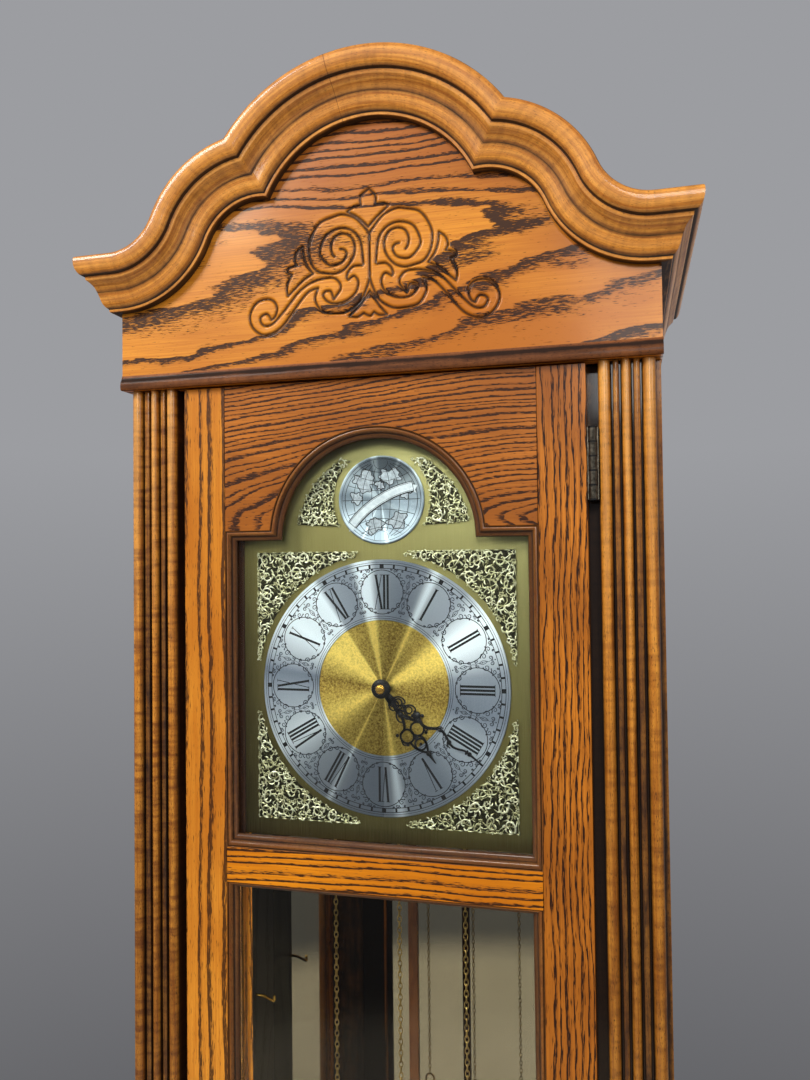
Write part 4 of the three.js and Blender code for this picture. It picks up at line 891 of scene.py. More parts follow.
def dial_window_line(d):
    """The dial window's edge, d mm outside its sight line, anticlockwise from the lower left."""
    side, bottom, shoulder = 0.95 * d, 1.15 * d, 0.95 * d
    left, right, low = -SIGHT - side, SIGHT + side, DIAL_SIGHT_BOTTOM - bottom
    high, radius = SHOULDER_Z + shoulder, DOOR_ARCH + 1.05 * d
    meet = math.degrees(math.asin(shoulder / radius))
    return [(left, low), (0.0, low), (right, low), (right, (low + high) / 2.0), (right, high),
            *arc(0.0, SHOULDER_Z, radius, meet, 180.0 - meet, 49), (left, high), (left, (low + high) / 2.0)]


def waist_window_line(d):
    left, right = -SIGHT - 0.95 * d, SIGHT + 0.95 * d
    low, high = WAIST_SIGHT_BOTTOM - 0.95 * d, WAIST_SIGHT_TOP + 0.63 * d
    return [(left, low), (0.0, low), (right, low), (right, (low + high) / 2.0), (right, high), (0.0, high),
            (left, high), (left, (low + high) / 2.0)]


def sticking(name, line):
    solid = Solid()
    lines = [[(x, DOOR_FRONT + y, z) for x, z in line(d)] for d, y, _ in STICKING]
    rings = [[run[i] for run in lines] for i in range(len(lines[0]))]
    solid.loft(rings, shades_of(STICKING), closed=True)
    solid.make(name, "door", moulding_wood(f"{name}_wood", 21.0, tone=1.7, light=srgb(148, 92, 36),
                                           middle=srgb(88, 52, 20), gloss=0.4), "oak", sharp=40.0)


def door():
    for side, name in SIDES:
        stile = Solid()
        inner, outer = sorted((side * (SIGHT + 9.6), side * DOOR_HALF))
        stile.box(inner, outer, DOOR_FRONT, DOOR_BACK, DOOR_BOTTOM, DOOR_TOP)
        if side < 0:
            finish = wood("stile_oak_left", axes="zxy", pith=(-238.0, -70.0), lean=0.012, ring=12.0,
                          seed=29.0, bands=0.85, wobble=4.0, tick=0.09, inside_shade="door", fray=3.0,
                          loose=0.61)
        else:
            finish = wood("stile_oak_right", axes="zxy", pith=(110.0, -60.0), lean=0.01, ring=4.4,
                          seed=31.0, bands=1.0, wobble=5.0, tick=0.07, light=srgb(200, 120, 34),
                          middle=srgb(142, 78, 20), inside_shade="door", fray=3.4, loose=0.6)
        stile.make(f"stile_{name}", "door", finish, "oak", [f"door_stile_{name}"], bevel=0.7)
    rail = Solid()
    half = SIGHT + 9.4
    low = SHOULDER_Z + 9.4
    radius = DOOR_ARCH + 10.4
    meet = math.degrees(math.asin(9.4 / radius))
    outline = [(-half, DOOR_TOP), (-half, low), *arc(0.0, SHOULDER_Z, radius, 180.0 - meet, meet, 49),
               (half, low), (half, DOOR_TOP)]
    rail.slab(outline, DOOR_FRONT, DOOR_BACK)
    rail.make("top_rail", "door", wood("top_rail_oak", axes="xzy", pith=(1536.0, -90.0), lean=0.19,
                                       ring=4.4, seed=40.0, bands=0.95, wobble=5.0, tick=0.13, uneven=0.6,
                                       light=srgb(186, 110, 36), middle=srgb(140, 78, 24), inside_shade="door",
                                       fray=2.8), "oak", ["door_top_rail"], bevel=0.6)
    middle = Solid()
    middle.box(-half, half, DOOR_FRONT, DOOR_BACK, WAIST_SIGHT_TOP + 6.2, DIAL_SIGHT_BOTTOM - 11.3)
    middle.make("mid_rail", "door", wood("mid_rail_oak", axes="xzy", pith=(1100.0, -60.0), lean=0.05,
                                         ring=6.2, seed=50.0, bands=0.95, wobble=3.0, tick=0.1,
                                         uneven=0.5, light=srgb(222, 136, 20), middle=srgb(186, 104, 12),
                                         inside_shade="door"), "oak", ["door_mid_rail"], bevel=0.6)
    bottom = Solid()
    bottom.box(-half, half, DOOR_FRONT, DOOR_BACK, DOOR_BOTTOM, WAIST_SIGHT_BOTTOM - 9.4)
    bottom.make("bottom_rail", "door",
                wood("bottom_rail_oak", axes="xzy", pith=(480.0, -70.0), lean=0.1, ring=5.5, seed=55.0),
                "oak", ["door_bottom_rail"], bevel=0.6)
    sticking("dial_window_moulding", dial_window_line)
    sticking("waist_window_moulding", waist_window_line)


door()

# ------------------------------------------------------------------ dial

RING_FACE = DIAL_Y - 1.5
CARTOUCHE_AT = 89.5
CARTOUCHE_RADIUS = 20.6
NUMERALS = ["XII", "I", "II", "III", "IIII", "V", "VI", "VII", "VIII", "IX", "X", "XI"]
NUMERAL_HALF = 16.0
BAR = 2.1
HAIRLINE = 0.55


def on_dial(across, radius, degrees):
    """A point on the dial from its place across and out along a ray clockwise from twelve."""
    turn = math.radians(degrees)
    return (radius * math.sin(turn) + across * math.cos(turn),
            DIAL_Z + radius * math.cos(turn) - across * math.sin(turn))


def circle(cx, cz, radius, steps=96):
    return [(cx + radius * math.cos(TAU * k / steps), cz + radius * math.sin(TAU * k / steps))
            for k in range(steps)]


def spiral(cx, cz, radius, start, turns=1.5, hand=1.0, steps=18, inner=0.18):
    """A scroll that winds in from its rim, by degrees."""
    points = []
    for k in range(steps + 1):
        share = k / steps
        angle = math.radians(start) + hand * TAU * turns * share
        reach = radius * (1.0 - (1.0 - inner) * share ** 0.85)
        points.append((cx + reach * math.cos(angle), cz + reach * math.sin(angle)))
    return points


def numeral_strokes(text):
    """Strokes of a Roman numeral, centred, as (x0, r0, x1, r1, width)."""
    strokes, x, h = [], 0.0, NUMERAL_HALF
    for letter in text:
        if letter == "I":
            x += BAR / 2.0
            strokes += [(x, -h, x, h, BAR), (x - 2.0, h, x + 2.0, h, HAIRLINE),
                        (x - 2.0, -h, x + 2.0, -h, HAIRLINE)]
            x += BAR / 2.0 + 1.3
        else:
            wide = 6.4
            lean = wide if letter == "X" else wide / 2.0
            other = 0.0 if letter == "X" else wide / 2.0
            strokes += [(x + 0.8, h, x + lean, -h, BAR), (x + wide, h, x + other, -h, HAIRLINE + 0.1),
                        (x - 1.0, h, x + 2.6, h, HAIRLINE), (x + wide - 1.6, h, x + wide + 1.2, h, HAIRLINE)]
            if letter == "X":
                strokes += [(x - 1.2, -h, x + 1.4, -h, HAIRLINE),
                            (x + wide - 2.2, -h, x + wide + 1.2, -h, HAIRLINE)]
            x += wide + 1.5
    middle = (x - 1.3) / 2.0
    return [(x0 - middle, r0, x1 - middle, r1, width) for x0, r0, x1, r1, width in strokes]


# Engraved scrolls between two cartouches: place across, place out, radius, start, hand.
FLOURISH = [(2.3, 3.0, 1.9, 200, 1), (5.2, 10.6, 3.3, 250, 1), (2.6, 16.6, 2.2, 180, -1),
            (10.6, 16.4, 2.9, 215, 1), (15.6, 19.0, 1.9, 200, -1), (19.6, 19.9, 1.2, 180, 1),
            (8.4, 20.4, 1.1, 90, -1), (2.2, -4.4, 1.7, 160, -1), (4.4, -11.4, 2.8, 120, -1),
            (1.9, -16.6, 1.7, 180, 1), (8.6, -16.8, 2.3, 140, -1), (12.4, -20.0, 1.2, 120, 1)]
DOTS = [(0.0, 20.2), (0.0, 8.0), (0.0, -9.0), (0.0, -20.4), (7.4, 14.4), (13.2, 14.2), (6.6, -14.4),
        (13.3, 20.6)]


def chapter_ring():
    plate = Solid()
    plate.turn([(63.3, PLATE_FACE), (63.3, -101.2), (63.6, RING_FACE), (119.6, RING_FACE),
                (120.0, -101.2), (120.0, PLATE_FACE), (63.3, PLATE_FACE)], (0.0, 0.0, DIAL_Z), "y", 180)
    plate.make("hour_ring", "case", SILVER, "silvered", ["chapter_ring"])
    top = RING_FACE - 0.05
    low = RING_FACE + 0.1
    ink = Solid()
    for radius, width in ((111.6, 0.6), (115.4, 0.6), (117.4, 0.35), (65.0, 0.4), (66.9, 0.4)):
        ink.stroke(circle(0.0, DIAL_Z, radius, 180), width, top, low, closed=True)
    for minute in range(60):
        bold = minute % 5 == 0
        ends = [on_dial(0.0, r, minute * 6.0) for r in ((111.4, 115.8) if bold else (111.6, 115.4))]
        ink.stroke(ends, 4.0 if bold else 1.9, top - 0.02, low)
    for hour, text in enumerate(NUMERALS):
        for x0, r0, x1, r1, width in numeral_strokes(text):
            ends = [on_dial(x, CARTOUCHE_AT + r, hour * 30.0) for x, r in ((x0, r0), (x1, r1))]
            ink.stroke(ends, width, top - 0.02, low)
        ink.stroke(circle(*on_dial(0.0, CARTOUCHE_AT, hour * 30.0), CARTOUCHE_RADIUS, 60), 0.72, top, low,
                   closed=True)
    ink.make("ring_numerals", "case", INK)
    fine = Solid()
    for hour in range(12):
        between = hour * 30.0 + 15.0
        for side in (-1.0, 1.0):
            for across, out, radius, start, hand in FLOURISH:
                line = spiral(across, out, radius, start, 1.35, hand, 14)
                path = [on_dial(side * a, CARTOUCHE_AT + r, between) for a, r in line]
                fine.stroke(path, np.linspace(0.95, 0.45, len(path)), top, low)
            for across, out in DOTS:
                centre = on_dial(side * across, CARTOUCHE_AT + out, between)
                fine.stroke(circle(*centre, 0.34, 8), 0.66, top, low, closed=True)
        stem = [on_dial(0.5 * math.sin(r), CARTOUCHE_AT + r, between) for r in np.linspace(-19.0, 19.0, 16)]
        fine.stroke(stem, 0.4, top, low)
        for tip, base in ((13.0, 5.0), (-13.5, -6.5)):
            for side in (-1.0, 1.0):
                leaf = [on_dial(side * w, CARTOUCHE_AT + base + (tip - base) * t, between)
                        for t, w in ((0.0, 0.0), (0.35, 1.5), (0.7, 1.2), (1.0, 0.0))]
                fine.stroke(smooth_path(leaf, 3), 0.5, top, low)
    fine.make("ring_engraving", "case", FINE_INK)
    centre = Solid()
    centre.turn([(6.0, PLATE_FACE), (6.0, -101.3), (62.8, -101.3), (63.0, -101.1), (63.0, PLATE_FACE),
                 (6.0, PLATE_FACE)], (0.0, 0.0, DIAL_Z), "y", 144)
    centre.make("spun_centre", "case", BRASS_CENTRE, "bright_brass", ["dial_centre"])


def inside_disc(points, radius):
    return [p for p in points if math.hypot(p[0], p[1]) < radius]


def land(cx, cz, size, seed):
    """A rough coastline as a closed line, with no real country's shape."""
    draw = random.Random(seed)
    waves = [(draw.uniform(0.12, 0.36) / n ** 0.5, draw.uniform(0.0, TAU), n) for n in (2, 3, 4, 5, 7, 9)]
    points = []
    for k in range(48):
        angle = TAU * k / 48
        reach = size * (1.0 + sum(a * math.cos(n * angle + p) for a, p, n in waves))
        points.append((cx + reach * math.cos(angle), cz + 0.85 * reach * math.sin(angle)))
    return points


def small_disc():
    plate = Solid()
    plate.turn([(0.0, PLATE_FACE), (0.0, -101.4), (39.6, -101.4), (39.9, -101.6), (41.3, -101.6),
                (41.85, -101.3), (41.85, PLATE_FACE), (0.0, PLATE_FACE)], (0.0, 0.0, DISC_Z), "y", 120)
    plate.make("small_disc", "case", SILVER_DISC, "silvered", ["arch_disc"])
    ink = Solid()
    top, low = -101.46, -101.3
    lines = []
    for step in (-0.92, -0.7, -0.47, -0.235, 0.0, 0.235, 0.47, 0.7, 0.92):
        lines.append([(38.4 * step * math.cos(t), 36.0 * math.sin(t)) for t in np.linspace(-1.22, 1.22, 30)])
    for step in (-26.0, -17.5, -8.8, 0.0, 8.8, 17.5, 26.0):
        bend = 0.0052 * step / 8.8
        lines.append([(x, step + bend * x * x) for x in np.linspace(-38.0, 38.0, 30)])
    for line in lines:
        path = [(x, DISC_Z + z) for x, z in inside_disc(line, 38.4) if math.hypot(x, abs(z) - 36.0) > 7.0]
        if len(path) > 2:
            ink.stroke(path, 0.5, top, low)
    ink.stroke(circle(0.0, DISC_Z, 38.6, 96), 0.4, top, low, closed=True)
    for side in (-1.0, 1.0):
        arc_points = inside_disc([(7.0 * math.cos(a), side * 36.0 + 7.0 * math.sin(a))
                                  for a in np.linspace(0.0, TAU, 40)], 38.4)
        arc_points.sort()
        ink.stroke([(x, DISC_Z + z) for x, z in arc_points], 0.4, top, low)
    lands = [(-16.0, 18.0, 10.5, 3), (9.0, 22.0, 9.0, 8), (25.0, 8.0, 7.0, 5), (-24.0, 2.0, 6.0, 9),
             (-6.0, -24.0, 8.0, 14), (16.0, -20.0, 8.5, 21), (-1.0, 14.0, 4.5, 30)]
    ground = Solid()
    for cx, cz, size, seed in lands:
        coast = [(x, DISC_Z + z) for x, z in land(cx, cz, size, seed)]
        ink.stroke(coast, 0.8, top - 0.02, low, closed=True)
        ground.slab(coast, top + 0.03, low)
    ground.make("disc_lands", "case", LAND_GREY)
    ink.make("disc_engraving", "case", INK)
    course = smooth_path([(-28.5, -23.0), (-21.0, -14.8), (-12.8, -7.6), (-3.0, -1.0), (7.4, 4.6),
                          (19.0, 9.2), (31.0, 12.0)], 7)
    slope = np.gradient(course, axis=0)
    slope /= np.linalg.norm(slope, axis=1)[:, None]
    aside = np.stack([-slope[:, 1], slope[:, 0]], axis=1)
    ribbon = Solid()
    outline = np.concatenate([course + aside * 4.7, (course - aside * 4.7)[::-1]]) + (0.0, DISC_Z)
    ribbon.slab([tuple(p) for p in outline], -101.62, -101.42)
    for end, way in ((course[0], -1.0), (course[-1], 1.0)):
        tail = [(end[0] - way * 3.0, DISC_Z + end[1] - 4.2), (end[0] + way * 3.6, DISC_Z + end[1] - 6.4),
                (end[0] + way * 2.0, DISC_Z + end[1] - 3.4), (end[0] + way * 4.4, DISC_Z + end[1] + 0.6),
                (end[0] - way * 2.4, DISC_Z + end[1] + 1.5)]
        ribbon.slab(tail, -101.5, -101.42)
    ribbon.make("disc_ribbon", "case", RIBBON_GREY, "silvered", sharp=12.0)
    edges = Solid()
    for offset, width in ((4.7, 0.8), (-4.7, 1.1), (3.5, 0.4), (-3.4, 0.4)):
        edges.stroke(course + aside * offset + (0.0, DISC_Z), width, -101.68, -101.5)
    for k in (0, -1):
        edges.stroke([tuple(course[k] + aside[k] * o + (0.0, DISC_Z)) for o in (-4.7, 0.0, 4.7)], 0.5,
                     -101.68, -101.5)
    edges.make("ribbon_outline", "case", INK)


# ------------------------------------------------------------------ cast spandrels


def pack_circles(room, low_x, high_x, low_z, high_z, seed, biggest=8.0, smallest=1.25, count=60):
    """Greedy packing: room(x, z) is the free distance to the casting's edge."""
    draw = np.random.default_rng(seed)
    x = draw.uniform(low_x, high_x, 6000)
    z = draw.uniform(low_z, high_z, 6000)
    free = np.minimum(room(x, z), biggest * draw.uniform(0.55, 1.0, 6000))
    placed = []
    for _ in range(count):
        best = int(np.argmax(free))
        if free[best] < smallest:
            break
        placed.append((x[best], z[best], free[best]))
        gap = np.hypot(x - x[best], z - z[best]) - free[best]
        free = np.minimum(free, gap)
    return placed


def filigree(solid, circles, seed, face=PLATE_FACE):
    """Scrolls and leaves in strands that stand off the plate: one cluster in each circle."""
    draw = random.Random(seed)
    for index, (cx, cz, radius) in enumerate(circles):
        strand = min(0.34 + 0.12 * radius, 1.0)
        hand = draw.choice((-1.0, 1.0))
        start = draw.uniform(0.0, 360.0)
        depth = face - 0.9 - draw.uniform(0.0, 0.5)
        tilt, narrow = draw.uniform(0.0, math.pi), draw.uniform(0.68, 0.95)
        line = spiral(0.0, 0.0, radius * 1.04 - strand * 0.4, start, draw.uniform(0.75, 1.2), hand, 16, 0.26)
        path = []
        for step, (x, z) in enumerate(line):
            far = x * math.cos(tilt) + z * math.sin(tilt)
            near = narrow * (z * math.cos(tilt) - x * math.sin(tilt))
            path.append((cx + far * math.cos(tilt) - near * math.sin(tilt), depth - 0.5 * step / len(line),
                         cz + far * math.sin(tilt) + near * math.cos(tilt)))
        solid.tube(path, np.linspace(strand * 1.05, strand * 0.6, len(path)), 6, 0.9)
        leaves = 6 if radius > 4.0 else 4 if radius > 2.4 else 3
        for k in range(leaves):
            angle = math.radians(start + hand * 360.0 * (k + 0.4) / leaves) + draw.uniform(-0.25, 0.25)
            bend = hand * draw.uniform(0.5, 1.0)
            root, length = radius * draw.uniform(0.3, 0.6), radius * draw.uniform(0.45, 0.75)
            points = []
            for share in (0.0, 0.3, 0.65, 1.0):
                out, turn = root + length * share, angle + bend * share * share
                points.append((cx + out * math.cos(turn), depth + 0.15 - 0.75 * math.sin(math.pi * share),
                               cz + out * math.sin(turn)))
            path = smooth_path(points, 2)
            solid.tube(path, np.interp(np.linspace(0, 1, len(path)), (0.0, 0.55, 1.0),
                                       (0.25, strand * 0.85, 0.16)), 5, 0.8)
        others = sorted(circles[:index], key=lambda c: math.hypot(c[0] - cx, c[1] - cz) - c[2])[:2]
        for ox, oz, _ in others:
            gap = math.hypot(ox - cx, oz - cz)
            bow = draw.uniform(-0.3, 0.3)
            middle = ((cx + ox) / 2.0 - bow * (oz - cz), depth - 0.55, (cz + oz) / 2.0 + bow * (ox - cx))
            if gap < 14.0:
                path = smooth_path([(cx, depth + 0.2, cz), middle, (ox, depth + 0.2, oz)], 5)
                solid.tube(path, np.linspace(0.35, strand * 0.7, len(path)), 5, 0.85)


CORNER = (126.5, 128.5)
SPANDREL_CLEAR = 124.0
SPANDREL_REACH = 27.0


def corner_room(x, z):
    return np.minimum(np.minimum(CORNER[0] - x, CORNER[1] - z), np.hypot(x, z) - SPANDREL_CLEAR - 0.3)


def corner_spandrel(name, side, up, seed):
    circles = pack_circles(corner_room, 24.0, CORNER[0], 24.0, CORNER[1], seed)
    solid = Solid()
    filigree(solid, circles, seed + 40)
    start = math.degrees(math.asin(SPANDREL_REACH / SPANDREL_CLEAR))
    hollow = arc(0.0, 0.0, SPANDREL_CLEAR + 2.2, 88.5 - start, start + 1.5, 30)
    inset = 1.2
    solid.slab([(CORNER[0] - inset, CORNER[1] - inset), (SPANDREL_REACH + 8.0, CORNER[1] - inset), *hollow,
                (CORNER[0] - inset, SPANDREL_REACH + 8.0)], -100.8, PLATE_FACE)
    for edge in ([(SPANDREL_REACH - 2.0, CORNER[1] - 1.0), (CORNER[0] - 1.0, CORNER[1] - 1.0)],
                 [(CORNER[0] - 1.0, CORNER[1] - 1.0), (CORNER[0] - 1.0, SPANDREL_REACH - 2.0)]):
        (x0, z0), (x1, z1) = edge
        steps = np.linspace(0.0, 1.0, 50)
        path = [(x0 + (x1 - x0) * t, -101.3 - 0.35 * math.sin(t * 70.0), z0 + (z1 - z0) * t) for t in steps]
        solid.tube(path, 0.5 + 0.3 * np.sin(steps * 70.0), 6)
    solid.points = [(side * x, y, DIAL_Z + up * z) for x, y, z in solid.points]
    solid.make(f"filigree_{name}", "case", CAST, "antique_brass", [f"spandrel_{name}"], sharp=70.0,
               merge=False)


ARCH_CENTRE = 139.5


def arch_room(x, z):
    outer = 86.6 - np.hypot(x, z - ARCH_CENTRE)
    inner = np.hypot(x, z - DISC_RISE) - 46.2
    floor = (z - 150.4) - (x - 38.0) * 0.056
    roof = (217.0 - z) + (x - 38.0) * 0.3
    return np.minimum(np.minimum(outer, inner), np.minimum(floor, roof))


def arch_spandrel(name, side, seed):
    circles = pack_circles(arch_room, 30.0, 88.0, 150.0, 218.0, seed, biggest=6.5, count=40)
    solid = Solid()
    filigree(solid, circles, seed + 40)
    outline = arc(0.0, ARCH_CENTRE, 84.8, 10.0, 60.0, 20) + arc(0.0, DISC_RISE, 47.8, 37.0, -31.0, 20)
    solid.slab(outline, -100.9, PLATE_FACE)
    solid.points = [(side * x, y, DIAL_Z + z) for x, y, z in solid.points]
    solid.make(f"arch_filigree_{name}", "case", CAST, "antique_brass", [f"arch_spandrel_{name}"], sharp=70.0,
               merge=False)


# ------------------------------------------------------------------ hands

HOUR_DEGREES = 142.6
MINUTE_DEGREES = 124.7


def hand_place(along, aside, degrees):
    turn = math.radians(degrees)
    return (along * math.sin(turn) + aside * math.cos(turn),
            DIAL_Z + along * math.cos(turn) - aside * math.sin(turn))


def hand_strokes(solid, strokes, degrees, y0, y1):
    """Curved strips of (along, aside) points with a width at each end."""
    for points, start, end in strokes:
        path = smooth_path(points, 5) if len(points) > 2 else np.array(points, float)
        placed = [hand_place(a, s, degrees) for a, s in path]
        solid.stroke(placed, np.linspace(start, end, len(placed)), y0, y1)


def hand_rings(solid, rings, degrees, y0, y1):
    for along, aside, radius, width in rings:
        solid.stroke(circle(*hand_place(along, aside, degrees), radius, 28), width, y0, y1, closed=True)


def hand_knots(solid, knots, degrees, y):
    for along, aside, radius in knots:
        x, z = hand_place(along, aside, degrees)
        solid.turn([(0.0, -0.9), (radius * 0.7, -0.7), (radius, -0.1), (radius, 0.5), (0.0, 0.5)],
                   (x, y, z), "y", 12)


def hour_hand():
    degrees, y0, y1 = HOUR_DEGREES, -106.4, -105.3
    solid = Solid()
    hand_strokes(solid, [([(7, 0), (13, 0.8), (18, -0.8), (24, 0.6), (30, 0)], 5.0, 3.0),
                         ([(12, 0), (16, 3.6), (20, 4.6), (23, 3.0), (22, 1.4)], 1.6, 0.8),
                         ([(12, 0), (16, -3.6), (20, -4.6), (23, -3.0), (22, -1.4)], 1.6, 0.8),
                         ([(24, 0), (29, 4.4), (34, 5.0), (36, 2.6)], 1.7, 0.9),
                         ([(24, 0), (29, -4.4), (34, -5.0), (36, -2.6)], 1.7, 0.9),
                         ([(30, 0), (36, -3.6), (42, -8.0), (45, -10.4)], 2.8, 1.8),
                         ([(30, 0), (36, 1.6), (42, 5.2), (44, 11.4)], 2.8, 1.8),
                         ([(55, -3.0), (60, -4.6), (66, -3.2), (72, 0)], 1.9, 1.7),
                         ([(55, 8.0), (61, 7.4), (67, 4.4), (72, 0)], 1.9, 1.7),
                         ([(70, 0), (78, 0.2), (84, 0)], 3.2, 0.6),
                         ([(49, -11.3), (54, -13.0), (56, -10.6)], 1.5, 0.9),
                         ([(48, 13.3), (53, 14.6), (55, 12.0)], 1.5, 0.9)], degrees, y0, y1)
    hand_rings(solid, [(49, -5, 6.3, 1.8), (49, 7, 6.3, 1.8), (62, 1, 5.2, 1.7), (17, 0, 2.6, 1.2)],
               degrees, y0, y1)
    hand_knots(solid, [(41, -9.6, 1.6), (43, 14.4, 1.6), (56.5, -9.6, 1.4), (55.6, 11.2, 1.4),
                       (55.5, 1.0, 2.2), (30, 0, 2.8), (73, 0, 2.5), (36, 2.4, 1.2), (36, -2.4, 1.2),
                       (62, 1.0, 1.3)], degrees, -105.9)
    solid.turn([(3.2, 0.4), (3.2, -1.0), (7.6, -1.0), (8.6, -0.4), (8.6, 0.4), (3.2, 0.4)],
               (0.0, -105.7, DIAL_Z), "y", 40)
    solid.turn([(3.2, 17.0), (3.2, 0.2), (4.6, 0.2), (4.6, 17.0), (3.2, 17.0)], (0.0, -105.7, DIAL_Z),
               "y", 24)
    solid.make("serpentine_hour_hand", "hour", BLACK, "black_steel", ["hour_hand"], merge=False)


def minute_hand():
    degrees, y0, y1 = MINUTE_DEGREES, -109.3, -108.3
    solid = Solid()
    hand_strokes(solid, [([(7, 0), (12, 0.4), (17, 0)], 4.6, 2.6),
                         ([(24, 0), (26.5, 0), (28, 0)], 2.4, 2.0),
                         ([(14, 0), (18, 4.4), (23, 5.2), (26, 3.0), (24, 1.6)], 1.5, 0.8),
                         ([(14, 0), (18, -4.4), (23, -5.2), (26, -3.0), (24, -1.6)], 1.5, 0.8),
                         ([(27, 0), (31, 4.6), (36, 5.0), (39, 2.4)], 1.6, 1.0),
                         ([(27, 0), (31, -4.6), (36, -5.0), (39, -2.4)], 1.6, 1.0),
                         ([(39, 0), (45, 1.2), (50, 3.4), (55, 3.2), (60, 0.2), (65, -2.6), (70, -2.6),
                           (75, -0.4), (79, 1.8)], 3.2, 2.0),
                         ([(79, 1.8), (84, 3.0), (89, 1.8), (95, -0.6), (101, -0.6)], 2.0, 1.6),
                         ([(62, -1.4), (64, -4.8), (68, -5.4)], 1.3, 0.5),
                         ([(77, 0.6), (79, 4.6), (83, 5.6)], 1.3, 0.5),
                         ([(52, 3.0), (54, 6.2), (58, 6.4)], 1.3, 0.5),
                         ([(99, -0.6), (108, -0.2), (115, 0)], 2.2, 0.6)], degrees, y0, y1)
    hand_rings(solid, [(20.5, 0, 3.2, 1.3), (32.5, 0, 3.0, 1.2)], degrees, y0, y1)
    hand_knots(solid, [(41, 0, 4.0), (45.5, 3.2, 1.6), (45.5, -3.2, 1.6), (27, 0, 1.9), (66, -2.6, 2.0),
                       (79, 1.8, 2.2), (100, -0.6, 2.1), (37.5, 2.2, 1.1), (37.5, -2.2, 1.1),
                       (97, -1.6, 1.1), (97, 0.8, 1.1)], degrees, -108.8)
    solid.turn([(2.7, 1.0), (2.7, -1.9), (4.6, -2.1), (6.8, -1.7), (8.3, -0.9), (9.0, 0.2), (9.0, 1.0),
                (2.7, 1.0)], (0.0, -109.3, DIAL_Z), "y", 48)
    solid.make("serpentine_minute_hand", "minute", BLACK, "black_steel", ["minute_hand"], merge=False)
    nut = Solid()
    nut.turn([(2.7, -109.5), (4.3, -111.2), (4.3, -111.7), (3.4, -111.9), (3.4, -112.9), (3.0, -113.3),
              (2.2, -113.5), (0.0, -113.55), (0.0, -109.6), (2.7, -109.5)], (0.0, 0.0, DIAL_Z), "y", 32)
    nut.make("centre_nut", "minute", BRASS, "bright_brass", ["hand_nut"])


chapter_ring()
small_disc()
corner_spandrel("top_right", 1, 1, 101)
corner_spandrel("top_left", -1, 1, 102)
corner_spandrel("bottom_right", 1, -1, 103)
corner_spandrel("bottom_left", -1, -1, 104)
arch_spandrel("right", 1, 105)
arch_spandrel("left", -1, 106)
hour_hand()
minute_hand()


MASK_TOP = 1668.0


def dial_mask():
    """Dark boards beside the dial, behind the door."""
    for side in (-1.0, 1.0):
        board = Solid()
        x0, x1 = sorted((side * 140.3, side * 181.6))
        board.box(x0, x1, -103.2, -99.0, PLATE_BOTTOM, MASK_TOP)
        board.make("dial_mask_left" if side < 0 else "dial_mask_right", "case", INNER_WOOD, "dark_wood",
                   bevel=0.4)


dial_mask()

# ------------------------------------------------------------------ base and plinth

BASE_FRONT = -150.0
BASE_BACK = -130.0
BASE_HALF = 268.0
PANEL_Z = 260.0
PANEL_HALF = 190.0
PANEL_RISE = 92.0  # from the panel's middle to its upper edge
PLINTH_FRONT = -163.0
PLINTH_HALF = 286.0
PLINTH_BOARD = 20.0
PLINTH_HEIGHT = 92.0


def frame_round(solid, section, back, shades):
    """A moulding across the front and back along both sides; section is (half width, height)."""
    reach = 123.0
    rings = [[(sx * h, -(h - reach) if front else back, z) for h, z in section]
             for sx, front in ((-1, False), (-1, True), (1, True), (1, False))]
    solid.loft(rings, shades)


